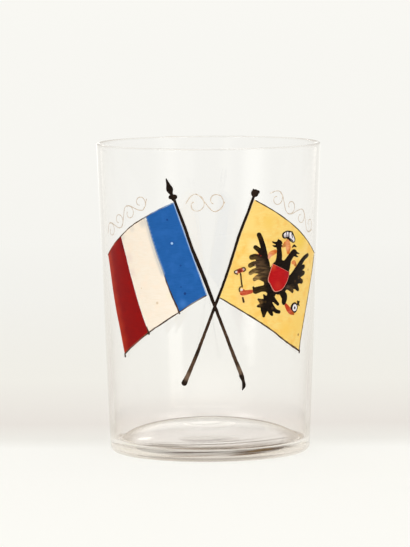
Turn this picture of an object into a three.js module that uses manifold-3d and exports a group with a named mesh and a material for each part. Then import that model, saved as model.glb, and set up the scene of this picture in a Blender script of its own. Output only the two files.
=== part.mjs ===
// Commemorative tumbler: a blown glass with two crossed flags painted on its front in fired enamels.
// Millimetres, +Z up, the origin in the middle of the face it stands on, the painted front towards -Y.
import * as THREE from "three";
import { mergeVertices } from "three/addons/utils/BufferGeometryUtils.js";
import Module from "manifold-3d";

const wasm = await Module();
wasm.setup();

// The glass
const height = 110;
const rimDiameter = 79.6;
const footDiameter = 71.1; // where the slant of the wall would meet the table
const rimWall = 1.2;
const footWall = 1.7;
const heelRadius = 2.3;
const restingRingWidth = 4.3;
const undersideRise = 6.2; // the hollow under the base
const pontilDiameter = 20; // where the blowing iron's scar was ground out and polished
const pontilDepth = 0.6;
const floorHeight = 3.8; // inside, where the floor meets the wall
const floorFillet = 2;
const floorRise = 7; // how far the middle of the floor stands above its edge
const kickPower = 2.4; // more is flatter in the middle
const kickShoulder = 0.6; // less stays high for longer and falls more steeply at its edge
const facetsRound = 72;

// The enamels
const coatThickness = 0.15;
const coatClearance = 0.02; // least gap under a coat
const bendStep = 3.2; // longest stretch of a coat that stays flat round the glass
const flatDip = bendStep ** 2 / (4 * footDiameter); // of a flat stretch below the bends at its ends
const coatGap = coatClearance + flatDip; // under every coat, at its bends
const tipShare = 0.4; // width of a brush stroke at its very end, as a share of its width before

// The painter's pattern sheet, wrapped round the front with its lower edge at the table. A place
// on it is x, to the right of the middle, and y, up from the lower edge.
const clearBand = 10.5; // plain glass between the rim and the tip of the spearhead
const spearTip = [-15.1, 99.5];
const crossing = [1.9, 55]; // where the poles cross
const crossingReach = 4.5; // the upper pole is fully raised this far either side of the crossing
const penWidth = 0.45;
const stripeGap = 0.2;
const giltWidth = 0.38;
const curlSize = 1.15; // radius of a gilt curl, as a share of the height of the waves
const curlTurns = 0.9;
const curlTightening = 0.7; // share of its radius that a curl loses on the way in

const enamel = {
  blue: "#2a62ae",
  white: "#f4e9d8",
  red: "#94180f",
  yellow: "#f8cf72",
  black: "#1c110c",
  brown: "#5c4332",
  scarlet: "#b5191c",
  pink: "#e2a08c",
  orange: "#dd7f3c",
  vermilion: "#cf4f2c",
  pearl: "#ece6ea",
  gilt: "#bfa06a",
};

const { clamp, lerp, smoothstep } = THREE.MathUtils;
const outerRadius = (z) => lerp(footDiameter, rimDiameter, z / height) / 2;
const innerRadius = (z) => outerRadius(z) - lerp(footWall, rimWall, z / height);

// Points on a stretch of a curve, from a function of the share run so far.
function stretch(steps, pointAt) {
  return Array.from({ length: steps + 1 }, (_, i) => pointAt(i / steps));
}

function arc(x, y, radius, from, to, steps) {
  return stretch(steps, (t) => {
    const angle = lerp(from, to, t);
    return new THREE.Vector2(x + radius * Math.cos(angle), y + radius * Math.sin(angle));
  });
}

// How high a kicked-up face of the base stands at a distance from the axis.
const kick = (rise, radius, r) => rise * (1 - (r / radius) ** kickPower) ** kickShoulder;

function glassProfile() {
  const lean = Math.atan2(rimDiameter - footDiameter, 2 * height);
  const ringOuter = outerRadius(heelRadius) - heelRadius / Math.cos(lean);
  const ringInner = ringOuter - restingRingWidth;
  const pontilRadius = pontilDiameter / 2;
  const pontilEdge = kick(undersideRise, ringInner, pontilRadius);
  const pontilTop = undersideRise + pontilDepth;
  const rimRadius = rimWall / 2;
  const floorRadius = innerRadius(floorHeight) - floorFillet;
  const pontil = stretch(2, (t) => {
    return new THREE.Vector2(t * pontilRadius, lerp(pontilTop, pontilEdge, t * t));
  });
  const underside = stretch(6, (t) => {
    const r = lerp(pontilRadius, ringInner, t * (2 - t));
    return new THREE.Vector2(r, kick(undersideRise, ringInner, r));
  });
  const heel = arc(ringOuter, heelRadius, heelRadius, -Math.PI / 2, -lean, 3);
  const rimMiddle = outerRadius(height) - rimRadius;
  const rim = arc(rimMiddle, height - rimRadius, rimRadius, 0, Math.PI, 4);
  const filletTop = floorHeight + floorFillet;
  const fillet = new THREE.QuadraticBezierCurve(
    new THREE.Vector2(innerRadius(filletTop), filletTop),
    new THREE.Vector2(innerRadius(floorHeight), floorHeight),
    new THREE.Vector2(floorRadius, floorHeight),
  ).getPoints(3);
  const floor = stretch(8, (t) => {
    const r = floorRadius * (1 - t * t);
    return new THREE.Vector2(r, floorHeight + kick(floorRise, floorRadius, r));
  });
  return [
    ...pontil,
    ...underside.slice(1),
    ...heel,
    ...rim,
    ...fillet,
    ...floor.slice(1),
  ];
}

const tumbler = new THREE.Group();

function addPiece(name, geometry, material) {
  const piece = new THREE.Mesh(geometry, new THREE.MeshStandardMaterial(material));
  piece.name = name;
  tumbler.add(piece);
}

const clearGlass = { color: "#e6ebe8", roughness: 0.04, metalness: 0, transparent: true, opacity: 0.3 };
const blownGlass = new THREE.LatheGeometry(glassProfile(), facetsRound).rotateX(Math.PI / 2);
addPiece("glass_tumbler", blownGlass, clearGlass);

// A point of the pattern sheet, lifted off the glass.
function onGlass(x, y, lift) {
  const z = height - clearBand - (spearTip[1] - y);
  const angle = x / outerRadius(z);
  const radius = outerRadius(z) + lift;
  return new THREE.Vector3(radius * Math.sin(angle), -radius * Math.cos(angle), z);
}

// Turns a closed geometry into a solid that can be joined to others.
function solidOf(flat) {
  flat.deleteAttribute("normal");
  flat.deleteAttribute("uv");
  const merged = mergeVertices(flat, 1e-4);
  const vertProperties = merged.attributes.position.array;
  const triVerts = new Uint32Array(merged.index.array);
  return new wasm.Manifold(new wasm.Mesh({ numProp: 3, vertProperties, triVerts }));
}

// A flat sheet of enamel, laid out by a function of its column and row.
function flatSheet(columns, rows, place) {
  const flat = new THREE.BoxGeometry(columns, rows, coatThickness, columns, rows, 1);
  flat.translate(columns / 2, rows / 2, coatThickness / 2);
  const at = flat.attributes.position;
  for (let i = 0; i < at.count; i++) {
    const { x, y } = place(at.getX(i), at.getY(i));
    at.setXY(i, x, y);
  }
  return solidOf(flat);
}

function flatDisc([x, y], radius, corners) {
  const flat = new THREE.CylinderGeometry(radius, radius, coatThickness, corners);
  return solidOf(flat.rotateX(Math.PI / 2).translate(x, y, coatThickness / 2));
}

// Halves every edge that is too long to bend, until none is left, and returns the triangles.
function splitLongEdges(points, triangles) {
  const middles = new Map();
  const middle = (a, b) => {
    if (Math.abs(points[a].x - points[b].x) <= bendStep) return [];
    const key = `${Math.min(a, b)} ${Math.max(a, b)}`;
    if (!middles.has(key)) {
      middles.set(key, points.length);
      points.push(points[a].clone().lerp(points[b], 0.5));
    }
    return [middles.get(key)];
  };
  const split = triangles.flatMap(([a, b, c]) => {
    const edges = [
      [...middle(a, b), b],
      [...middle(b, c), c],
      [...middle(c, a), a],
    ];
    const first = Math.max(0, edges.findIndex((edge) => edge.length > 1));
    const loop = [...edges.slice(first), ...edges.slice(0, first)].flat();
    return loop.slice(2).map((corner, i) => [loop[0], loop[i + 1], corner]);
  });
  return middles.size ? splitLongEdges(points, split) : split;
}

// Paints flat sheets of one colour as one coat, joined where they overlap and bent round the glass.
function paint(name, coat, color, sheets, rise = () => 0) {
  const joined = sheets.reduce((all, next) => all.add(next));
  const { numProp, vertProperties, triVerts } = joined.getMesh();
  const points = [];
  for (let i = 0; i < vertProperties.length; i += numProp) {
    points.push(new THREE.Vector3(...vertProperties.slice(i, i + 3)));
  }
  const triangles = [];
  for (let i = 0; i < triVerts.length; i += 3) {
    triangles.push([...triVerts.slice(i, i + 3)]);
  }
  const index = splitLongEdges(points, triangles).flat();
  const lift = coat * coatGap + (coat - 1) * coatThickness;
  const bent = points.map(({ x, y, z }) => onGlass(x, y, lift + z + rise(x, y)));
  const geometry = new THREE.BufferGeometry().setFromPoints(bent).setIndex(index);
  geometry.computeVertexNormals();
  addPiece(name, geometry, { color, roughness: 0.25, metalness: 0 });
}

// One brush stroke through stations of x, y and width, from one share of its way to another. Its
// ends narrow over half a width past the first station and the last.
function brush(stations, steps = 3 * (stations.length - 1), from = 0, to = 1) {
  const line = new THREE.CatmullRomCurve3(stations.map((at) => new THREE.Vector3(...at)));
  return flatSheet(steps + 2, 1, (column, row) => {
    const share = lerp(from, to, clamp((column - 1) / steps, 0, 1));
    const { x, y, z: width } = line.getPoint(share);
    const { x: alongX, y: alongY } = line.getTangent(share).setZ(0).normalize();
    const past = (column > steps + 1) - (column < 1);
    const onwards = (past * width) / 2;
    const sideways = (row - 0.5) * width * (past ? tipShare : 1);
    return {
      x: x + alongX * onwards - alongY * sideways,
      y: y + alongY * onwards + alongX * sideways,
    };
  });
}

// A pen line of one width along a side of a flag.
function pen(side, dx, dy, steps, from, to) {
  const stations = side.map(([x, y]) => [x + dx, y + dy, penWidth]);
  return brush(stations, steps, from, to);
}

// An area with four smooth sides. The foot and the top run as the columns do, from start to end.
function patch({ foot, top, start, end, columns, rows }) {
  const curve = (side) => new THREE.SplineCurve(side.map(([x, y]) => new THREE.Vector2(x, y)));
  const [footCurve, topCurve, startCurve, endCurve] = [foot, top, start, end].map(curve);
  return flatSheet(columns, rows, (column, row) => {
    const u = column / columns;
    const v = row / rows;
    const onFoot = footCurve.getPoint(u);
    const onTop = topCurve.getPoint(u);
    const footCorners = footCurve.getPoint(0).lerp(footCurve.getPoint(1), u);
    const topCorners = topCurve.getPoint(0).lerp(topCurve.getPoint(1), u);
    const upwards = onFoot.lerp(onTop, v);
    const sideways = startCurve.getPoint(v).lerp(endCurve.getPoint(v), u);
    return upwards.add(sideways).sub(footCorners.lerp(topCorners, v));
  });
}

// The tricolour: three stripes side by side. Sides run upwards, feet and tops to the right.
const hoistSide = [[-1.6, 59.2], [-4.1, 66.0], [-6.6, 73.2], [-9.3, 80.8], [-12.7, 90.9]];
const blueWhite = [[-10.5, 52.9], [-13.5, 59.2], [-16.4, 66.5], [-19.7, 74.9], [-23.4, 86.0]];
const whiteRed = [[-22.4, 45.2], [-26.2, 54.2], [-30.8, 66.1], [-33.1, 71.8], [-35.6, 78.2]];
const flySide = [[-34.4, 36.7], [-36.8, 44.6], [-39.4, 52.2], [-41.8, 60.0], [-43.6, 67.1], [-45.4, 71.2]];
const topSide = [flySide.at(-1), [-40.8, 75.0], whiteRed.at(-1), [-29.5, 82.6], blueWhite.at(-1),
  [-18.0, 89.0], hoistSide.at(-1)];
const footSide = [flySide[0], [-28.6, 41.0], whiteRed[0], [-16.4, 49.1], blueWhite[0],
  [-5.8, 56.0], hoistSide[0]];

// The stripe between two sides; first is the place of its far corner in the foot and top sides.
function stripe(name, color, first, far, near, gapFar, gapNear) {
  const start = far.map(([x, y]) => [x + gapFar, y]);
  const end = near.map(([x, y]) => [x - gapNear, y]);
  const foot = [start[0], footSide[first + 1], end[0]];
  const top = [start.at(-1), topSide[first + 1], end.at(-1)];
  paint(name, 1, color, [patch({ foot, top, start, end, columns: 5, rows: 8 })]);
}

const halfGap = stripeGap / 2;
stripe("blue_stripe", enamel.blue, 4, blueWhite, hoistSide, halfGap, 0);
stripe("white_stripe", enamel.white, 2, whiteRed, blueWhite, halfGap, halfGap);
stripe("red_stripe", enamel.red, 0, flySide, whiteRed, 0, halfGap);

// The brown lines lie on the stripes, drawn in from their edges by more than half a line.
const inset = 0.6 * penWidth;
paint("tricolour_top_line", 2, enamel.brown, [pen(topSide, 0, -inset, 16, 0.01, 0.98)]);
paint("tricolour_foot_line", 2, enamel.brown, [pen(footSide, 0, inset, 16, 0.01, 0.98)]);
paint("blue_white_line", 2, enamel.brown, [pen(blueWhite, 0, 0, 10, 0.03, 0.97)]);

// The yellow flag and the lines along its three free sides. Its sides run away from the foot of
// the pole side, which is nearest the crossing.
const yellowFly = [[37.5, 37.2], [39.0, 43.0], [41.5, 50.0], [44.6, 57.5], [48.0, 65.0], [50.5, 71.2]];
const yellowPole = [[3.8, 58.1], [6.3, 64.2], [9.0, 72.1], [11.7, 80.0], [15.0, 88.0], [16.7, 91.9]];
const yellowFoot = [yellowFly[0], [30.0, 41.1], [22.4, 46.2], [13.5, 51.8], yellowPole[0]];
const yellowTop = [yellowFly.at(-1), [45.5, 74.4], [35.5, 81.1], [25.3, 87.2], yellowPole.at(-1)];
const yellowSides = { foot: yellowFly, top: yellowPole, start: yellowFoot, end: yellowTop };
paint("yellow_field", 1, enamel.yellow, [patch({ ...yellowSides, columns: 8, rows: 14 })]);
paint("yellow_top_line", 2, enamel.brown, [pen(yellowTop, 0, -inset, 14, 0.01, 0.98)]);
paint("yellow_fly_line", 2, enamel.brown, [pen(yellowFly, -inset, 0, 10, 0.03, 0.95)]);
paint("yellow_foot_line", 2, enamel.brown, [pen(yellowFoot, 0, inset, 14, 0.04, 0.98)]);

// The poles. The spear pole passes over the ball pole where they cross.
function overTheOther(x, y) {
  const away = Math.hypot(x - crossing[0], y - crossing[1]);
  return (coatThickness + coatGap) * (1 - smoothstep(away, crossingReach, 2 * crossingReach));
}

const spearPole = [[-12.2, 92.2, 0.8], [-10.5, 88.0, 0.8], [-8.3, 82.0, 0.8], [-6.4, 76.0, 0.85],
  [-4.0, 70.0, 0.95], [-1.5, 64.0, 1.05], [...crossing, 1.0], [5.3, 46.0, 1.0],
  [8.3, 38.0, 1.15], [11.2, 30.8, 1.5]];
const spearhead = [[...spearTip, 0.3], [-14.4, 97.6, 1.3], [-13.8, 95.8, 2.6], [-13.2, 94.1, 0.9]];
const spearCollar = [[-13.4, 93.2, 1.3], [-12.0, 93.3, 1.5]];
const spearNeck = [[-13.5, 95.2, 1.0], [-12.5, 92.4, 1.2]];
const spearPoleFoot = [[11.4, 30.2, 1.5], [11.9, 28.4, 1.1], [12.1, 27.0, 1.3], [11.6, 25.5, 0.4]];
const spearStrokes = [spearPole, spearhead, spearCollar, spearNeck, spearPoleFoot];
paint("spear_pole", 1, enamel.black, spearStrokes.map((line) => brush(line)), overTheOther);

const ballPole = [[16.0, 93.0, 0.85], [14.2, 88.0, 0.8], [10.9, 80.0, 0.85], [8.3, 72.0, 0.85],
  [5.5, 64.0, 0.9], [...crossing, 0.95], [-1.5, 46.0, 0.95], [-4.6, 38.0, 1.15],
  [-7.6, 31.0, 1.5], [-9.0, 28.1, 2.0]];
const ballMiddle = [16.5, 94.25];
const ballRadius = 1.35;
const ballTip = [[17.2, 94.5, 1.6], [17.7, 94.5, 1.3]];
paint("ball_pole", 1, enamel.black, [
  brush(ballPole),
  flatDisc(ballMiddle, ballRadius, 12),
  brush(ballTip),
]);

// The eagle: every feather is one stroke from its tip to its root, all in one coat of black.
const leftWing = [
  [[17.9, 80.1, 1.2], [18.9, 77.6, 2.2], [19.8, 74.6, 2.6], [20.3, 71.0, 2.8], [20.9, 66.5, 2.8],
    [20.9, 61.4, 2.2]],
  [[16.5, 75.3, 1.4], [17.6, 74.5, 1.9], [19.3, 72.6, 2.0]],
  [[14.6, 71.8, 1.5], [16.6, 72.0, 2.1], [19.6, 70.8, 2.2]],
  [[14.3, 68.7, 1.3], [16.0, 69.3, 2.0], [19.6, 68.8, 2.2]],
  [[14.4, 65.9, 1.0], [16.2, 66.9, 1.9], [19.8, 66.7, 2.4]],
  [[16.2, 63.7, 0.9], [18.0, 64.5, 1.9], [20.3, 64.5, 2.4]],
];
const rightWing = [
  [[43.2, 70.4, 1.3], [40.6, 69.5, 2.0], [37.8, 67.5, 2.8], [34.7, 64.9, 3.0], [30.8, 61.8, 3.0]],
  [[40.4, 67.0, 1.2], [37.9, 65.7, 2.2], [34.0, 63.5, 2.6]],
  [[40.3, 64.2, 1.2], [37.4, 63.6, 2.2], [33.6, 62.4, 2.4]],
  [[39.2, 61.2, 1.4], [36.6, 61.6, 2.2], [33.0, 61.4, 2.3]],
  [[36.4, 59.0, 1.4], [34.6, 59.8, 2.2], [31.4, 60.8, 2.3]],
  [[33.1, 58.7, 1.1], [31.9, 59.5, 1.8], [29.8, 61.0, 2.2]],
];
const tail = [
  [[19.6, 58.4, 0.8], [20.6, 57.0, 1.6], [22.0, 55.8, 1.8]],
  [[17.7, 57.0, 0.8], [19.2, 56.2, 1.7], [21.4, 55.6, 2.0]],
  [[17.3, 54.7, 0.8], [18.9, 55.0, 1.7], [21.2, 55.4, 2.0]],
  [[19.8, 51.1, 1.2], [20.0, 52.6, 1.8], [21.2, 55.0, 2.0]],
  [[23.1, 51.3, 1.2], [22.5, 52.6, 1.8], [21.8, 55.0, 2.0]],
  [[26.6, 52.1, 1.2], [24.9, 52.5, 1.6], [23.3, 54.2, 1.7], [22.0, 56.2, 1.8]],
  [[25.7, 54.9, 1.1], [24.5, 56.0, 1.6], [23.0, 57.6, 1.8]],
  [[23.6, 59.2, 2.6], [22.2, 57.2, 2.6], [21.5, 55.4, 2.6]],
];
const leftHead = [
  [[25.5, 68.5, 3.6], [26.6, 72.4, 2.5], [26.4, 74.7, 1.7], [26.0, 76.2, 2.2], [26.2, 77.0, 1.5]],
  [[25.6, 76.4, 0.9], [24.4, 76.5, 0.7], [23.6, 76.9, 0.4]],
  [[25.6, 75.8, 0.8], [24.5, 75.4, 0.6], [23.6, 75.6, 0.35]],
  [[26.4, 76.0, 0.7], [27.8, 75.3, 0.4]],
];
const rightHead = [
  [[28.3, 67.6, 3.6], [30.4, 70.2, 2.6], [32.4, 72.2, 2.2], [34.1, 73.0, 2.2]],
  [[34.2, 72.9, 1.0], [35.8, 72.4, 0.8], [36.8, 72.0, 0.4]],
  [[34.0, 72.3, 0.9], [35.3, 71.4, 0.7], [36.0, 70.9, 0.35]],
];
const legs = [
  [[21.4, 60.2, 1.9], [18.7, 60.3, 1.8], [16.2, 60.1, 2.1]],
  [[27.6, 59.2, 2.2], [29.2, 57.4, 2.6], [28.7, 55.2, 2.0]],
];
const bodySides = {
  foot: [[23.2, 58.3], [26.4, 58.4], [28.9, 58.7]],
  top: [[22.3, 70.2], [25.4, 71.2], [29.0, 68.9], [32.2, 66.6]],
  start: [[23.2, 58.3], [20.9, 60.4], [20.4, 63.4], [21.2, 66.9], [22.3, 70.2]],
  end: [[28.9, 58.7], [31.0, 61.0], [31.7, 63.6], [32.2, 66.6]],
};
const eagleBody = patch({ ...bodySides, columns: 4, rows: 4 });
const eagleStrokes = [...leftWing, ...rightWing, ...tail, ...leftHead, ...rightHead, ...legs];
paint("black_eagle", 2, enamel.black, [eagleBody, ...eagleStrokes.map((line) => brush(line))]);

// The shield on the eagle's breast: a pale underlay with the red laid inside its edge.
const shieldMiddle = [26.2, 64.3];
const redShare = 0.94; // of the underlay's reach from the middle
const shieldSides = {
  foot: [[22.2, 61.8], [24.1, 59.4], [27.0, 59.8], [28.7, 60.9]],
  top: [[23.4, 69.5], [27.4, 67.6], [31.3, 65.8]],
  start: [[22.2, 61.8], [21.3, 63.6], [22.4, 67.0], [23.4, 69.5]],
  end: [[28.7, 60.9], [30.6, 63.2], [31.3, 65.8]],
};

function shield(share) {
  const drawnIn = (side) => side.map((at) => at.map((value, i) => lerp(shieldMiddle[i], value, share)));
  const sides = Object.entries(shieldSides).map(([name, side]) => [name, drawnIn(side)]);
  return patch({ ...Object.fromEntries(sides), columns: 4, rows: 4 });
}

paint("shield_edging", 3, enamel.pink, [shield(1)]);
paint("red_shield", 4, enamel.scarlet, [shield(redShare)]);

// What is painted on the yellow round the eagle, each piece with its strokes.
const onTheYellow = {
  black: {
    right_head_crown: [[[33.1, 74.7, 0.4], [34.0, 75.1, 0.5], [34.9, 74.6, 0.4]]],
    crown_ground: [[[28.9, 78.9, 2.3], [30.4, 79.1, 2.4], [32.1, 78.2, 3.0], [33.2, 77.4, 2.5]]],
  },
  orange: {
    left_ribbon: [[[24.6, 73.7, 1.3], [23.4, 73.0, 1.6], [22.3, 72.4, 1.1], [22.1, 71.3, 0.6]]],
    middle_ribbon: [
      [[30.1, 76.2, 1.3], [29.3, 75.4, 1.3], [28.5, 74.9, 0.7]],
      [[30.5, 75.9, 1.5], [31.0, 74.7, 1.6], [30.7, 73.2, 0.8]],
    ],
    right_ribbon: [[[33.3, 69.4, 0.8], [34.1, 68.9, 1.4], [34.6, 68.0, 0.9]]],
  },
  vermilion: {
    left_claw: [
      [[14.2, 60.0, 1.3], [12.8, 59.8, 1.5], [11.4, 59.4, 1.7]],
      [[12.0, 59.9, 1.0], [10.9, 60.4, 0.7]],
    ],
    right_claw: [[[29.7, 53.9, 1.2], [30.8, 52.8, 1.6], [32.0, 51.4, 1.6], [33.6, 50.8, 0.7]]],
    sceptre_head: [[[9.3, 66.9, 1.1], [10.8, 67.5, 1.5], [12.2, 68.0, 1.1]]],
  },
  brown: {
    sceptre_upper_rod: [[[11.1, 66.2, 0.6], [11.3, 64.0, 0.5], [11.6, 61.8, 0.55]]],
    sceptre_lower_rod: [[[11.9, 57.8, 0.5], [12.1, 56.5, 0.7]]],
  },
};

// The pearly lobes of the large crown, laid on its ground.
const crownLobes = {
  crown_left_lobe: [[28.9, 78.8, 1.5], [30.2, 79.2, 1.6]],
  crown_right_lobe: [[31.9, 78.5, 1.9], [32.9, 77.4, 1.8]],
};

for (const [color, pieces] of Object.entries(onTheYellow)) {
  for (const [name, lines] of Object.entries(pieces)) {
    paint(name, 2, enamel[color], lines.map((line) => brush(line)));
  }
}
for (const [name, line] of Object.entries(crownLobes)) {
  paint(name, 3, enamel.pearl, [brush(line)]);
}

// The orb: a dark disc with its cross beside it, and a pearly ring that leaves its middle dark.
const orbMiddle = [34.3, 53.0];
const orbRadius = 1.75;
const orbHeartRadius = 0.4;
const orbStem = [[35.6, 53.6, 0.7], [37.0, 54.5, 0.55]];
const orbArm = [[36.0, 54.6, 0.5], [36.9, 53.5, 0.5]];
paint("orb_ground", 2, enamel.black, [
  flatDisc(orbMiddle, orbRadius, 16),
  brush(orbStem),
  brush(orbArm),
]);
const orbPearl = flatDisc(orbMiddle, orbRadius - penWidth, 16);
paint("orb_ring", 3, enamel.pearl, [orbPearl.subtract(flatDisc(orbMiddle, orbHeartRadius, 8))]);

// Worn gilding above the flags: a wavy stem with a curl at every turn.
function curl(x, y, radius, from, turns) {
  return stretch(8, (t) => {
    const angle = from + 2 * Math.PI * turns * t;
    const reach = radius * (1 - curlTightening * t);
    return [x + reach * Math.cos(angle), y + reach * Math.sin(angle), giltWidth];
  });
}

function giltScroll({ start, end, waves, waveHeight }) {
  const first = new THREE.Vector2(...start);
  const along = new THREE.Vector2(...end).sub(first);
  const heading = along.angle();
  const across = new THREE.Vector2(-Math.sin(heading), Math.cos(heading));
  const at = (share, sideways) => {
    return first.clone().addScaledVector(along, share).addScaledVector(across, sideways);
  };
  const stem = stretch(8 * waves, (t) => {
    const { x, y } = at(t, waveHeight * Math.sin(2 * Math.PI * waves * t));
    return [x, y, giltWidth];
  });
  const strokes = [brush(stem, 2 * stem.length)];
  for (let turn = 0; turn < 2 * waves; turn++) {
    const upward = turn % 2 === 0 ? 1 : -1;
    const radius = curlSize * waveHeight;
    const { x, y } = at((turn + 0.5) / (2 * waves), upward * (waveHeight - radius));
    const from = heading + (upward * Math.PI) / 2;
    strokes.push(brush(curl(x, y, radius, from, -curlTurns * upward), 12));
  }
  return strokes;
}

const giltScrolls = {
  left_gilt_scroll: { start: [-45.0, 78.8], end: [-23.0, 92.2], waves: 2, waveHeight: 2.5 },
  right_gilt_scroll: { start: [22.6, 94.0], end: [47.4, 79.8], waves: 2, waveHeight: 2.5 },
  middle_gilt_scroll: { start: [-8.0, 91.0], end: [5.6, 91.4], waves: 1, waveHeight: 3.2 },
};
for (const [name, scroll] of Object.entries(giltScrolls)) {
  paint(name, 1, enamel.gilt, giltScroll(scroll));
}

export default tumbler;
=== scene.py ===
import math

import bmesh
import bpy
from mathutils import Matrix, Vector, noise


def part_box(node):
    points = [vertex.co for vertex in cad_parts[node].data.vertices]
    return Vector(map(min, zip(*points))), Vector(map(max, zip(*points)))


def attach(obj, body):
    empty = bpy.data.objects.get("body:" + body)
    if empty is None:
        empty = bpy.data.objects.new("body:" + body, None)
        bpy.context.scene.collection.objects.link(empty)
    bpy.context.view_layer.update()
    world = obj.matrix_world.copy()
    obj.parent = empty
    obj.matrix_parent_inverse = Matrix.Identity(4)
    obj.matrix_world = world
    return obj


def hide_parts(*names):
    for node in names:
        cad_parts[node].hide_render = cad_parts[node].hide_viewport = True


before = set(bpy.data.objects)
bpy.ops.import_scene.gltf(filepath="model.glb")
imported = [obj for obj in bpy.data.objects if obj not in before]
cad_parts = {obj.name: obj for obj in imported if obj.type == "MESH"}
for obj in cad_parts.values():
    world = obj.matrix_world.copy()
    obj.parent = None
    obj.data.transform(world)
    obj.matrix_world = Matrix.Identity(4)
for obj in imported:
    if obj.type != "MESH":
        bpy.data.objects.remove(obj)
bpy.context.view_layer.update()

# The blown tumbler
# Soda-lime glass, blown out thin and a little uneven, its rim rounded in the fire. The floor is pushed
# up from below, and the scar that the iron left under it is ground to a shallow hollow.
MM = 0.001  # the glass's sizes are in millimetres, and its heights are measured from the table
glass_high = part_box("glass_tumbler")[1]
HEIGHT = glass_high.z / MM
RIM_RADIUS = glass_high.x / MM
FOOT_RADIUS = 35.55
RIM_WALL, FOOT_WALL = 1.2, 1.7
HEEL_RADIUS = 2.3
RING_WIDTH = 4.3
UNDERSIDE_RISE = 6.2
PONTIL_RADIUS, PONTIL_DEPTH = 10.0, 0.6
FLOOR_HEIGHT, FLOOR_FILLET, FLOOR_RISE = 3.8, 2.0, 7.0
KICK_POWER, KICK_SHOULDER = 2.4, 0.6
WALL_START_OUTSIDE, WALL_START_INSIDE = 4.0, 7.0  # heights between which and the rim the wall is straight
BELOW_RIM = 1.0
STEPS_ROUND = 240


def mix(start, end, share):
    return start + (end - start) * share


def outer_radius(z):
    return mix(FOOT_RADIUS, RIM_RADIUS, z / HEIGHT)


def inner_radius(z):
    return outer_radius(z) - mix(FOOT_WALL, RIM_WALL, z / HEIGHT)


def kick(rise, radius, r):
    """How high a pushed-up face of the base stands at a distance from the axis."""
    return rise * (1 - min(1, r / radius) ** KICK_POWER) ** KICK_SHOULDER


def shares(steps):
    return [step / steps for step in range(steps + 1)]


def arc(x, y, radius, first, last, steps):
    turns = [mix(first, last, share) for share in shares(steps)]
    return [(x + radius * math.cos(turn), y + radius * math.sin(turn)) for turn in turns]


def glass_profile():
    """Half of the glass cut through its axis, from the underside round the rim to the floor."""
    lean = math.atan2(RIM_RADIUS - FOOT_RADIUS, HEIGHT)
    ring_outer = outer_radius(HEEL_RADIUS) - HEEL_RADIUS / math.cos(lean)
    ring_inner = ring_outer - RING_WIDTH
    pontil_edge = kick(UNDERSIDE_RISE, ring_inner, PONTIL_RADIUS)
    pontil_top = UNDERSIDE_RISE + PONTIL_DEPTH
    rim_radius = RIM_WALL / 2
    floor_radius = inner_radius(FLOOR_HEIGHT) - FLOOR_FILLET
    points = [(PONTIL_RADIUS * t, mix(pontil_top, pontil_edge, t * t)) for t in shares(8)]
    for share in shares(20)[1:]:
        r = mix(PONTIL_RADIUS, ring_inner, math.sin(share * math.pi / 2))
        points.append((r, kick(UNDERSIDE_RISE, ring_inner, r)))
    points += arc(ring_outer, HEEL_RADIUS, HEEL_RADIUS, -math.pi / 2, -lean, 10)
    rim_z = HEIGHT - rim_radius
    wall_top = rim_z - BELOW_RIM
    points += [(outer_radius(z), z) for z in (mix(WALL_START_OUTSIDE, wall_top, t) for t in shares(36))]
    points += arc(outer_radius(HEIGHT) - rim_radius, rim_z, rim_radius, 0, math.pi, 12)
    points += [(inner_radius(z), z) for z in (mix(wall_top, WALL_START_INSIDE, t) for t in shares(36))]
    corner = Vector((inner_radius(FLOOR_HEIGHT), FLOOR_HEIGHT))
    fillet_top = FLOOR_HEIGHT + FLOOR_FILLET
    above, inside = Vector((inner_radius(fillet_top), fillet_top)), Vector((floor_radius, FLOOR_HEIGHT))
    for t in shares(8):
        points.append(tuple(above.lerp(corner, t).lerp(corner.lerp(inside, t), t)))
    for share in shares(24)[1:]:
        r = floor_radius * math.cos(share * math.pi / 2)
        points.append((r, FLOOR_HEIGHT + kick(FLOOR_RISE, floor_radius, r)))
    return points


WAVE_DEPTH, WAVE_LENGTH = 0.03, 16.0  # how far the inside strays from a true cone, over what length
WITHIN_WALL = 0.8  # from the outside to a face that lies between both faces of the wall
WITHIN_FLOOR = 0.5  # from the floor's edge down to a face that lies between both faces of the floor
FLOOR_EDGE, FLOOR_SLANT = 33.0, 0.1  # the radius of that edge, and the climb from it to the axis
ON_AXIS = 0.1  # what is nearer to the axis than this stays where it is


def blow_uneven(bm):
    """Lets the inside of the wall and the floor stray a little, as breath and gravity leave it."""
    for vert in bm.verts:
        r = math.hypot(vert.co.x, vert.co.y)
        off_outside = r < outer_radius(vert.co.z) - WITHIN_WALL
        off_underside = vert.co.z > FLOOR_HEIGHT - WITHIN_FLOOR + FLOOR_SLANT * (FLOOR_EDGE - r)
        if off_outside and off_underside and r > ON_AXIS:
            stray = WAVE_DEPTH * noise.noise(vert.co / WAVE_LENGTH)
            vert.co.x *= 1 + stray / r
            vert.co.y *= 1 + stray / r


def add(tree, kind, inputs=(), output=None, **settings):
    """Adds a node with its settings. An input's value is a number, a colour or a link. Gives back the
    output of that name, or else the first one in use."""
    node = tree.nodes.new(kind)
    for name, value in settings.items():
        setattr(node, name, value)
    for name, value in dict(inputs).items():
        if isinstance(value, bpy.types.NodeSocket):
            tree.links.new(value, node.inputs[name])
        else:
            node.inputs[name].default_value = value
    if output:
        return node.outputs[output]
    return next((socket for socket in node.outputs if socket.enabled), None)


def ink(hex_code):
    """An sRGB hex colour as linear red, green, blue and alpha."""
    parts = [int(hex_code[i : i + 2], 16) / 255 for i in (1, 3, 5)]
    return [p / 12.92 if p <= 0.04045 else ((p + 0.055) / 1.055) ** 2.4 for p in parts] + [1.0]


def new_material(name):
    material = bpy.data.materials.new(name)
    material.use_nodes = True
    material.node_tree.nodes.clear()
    return material, material.node_tree


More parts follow.
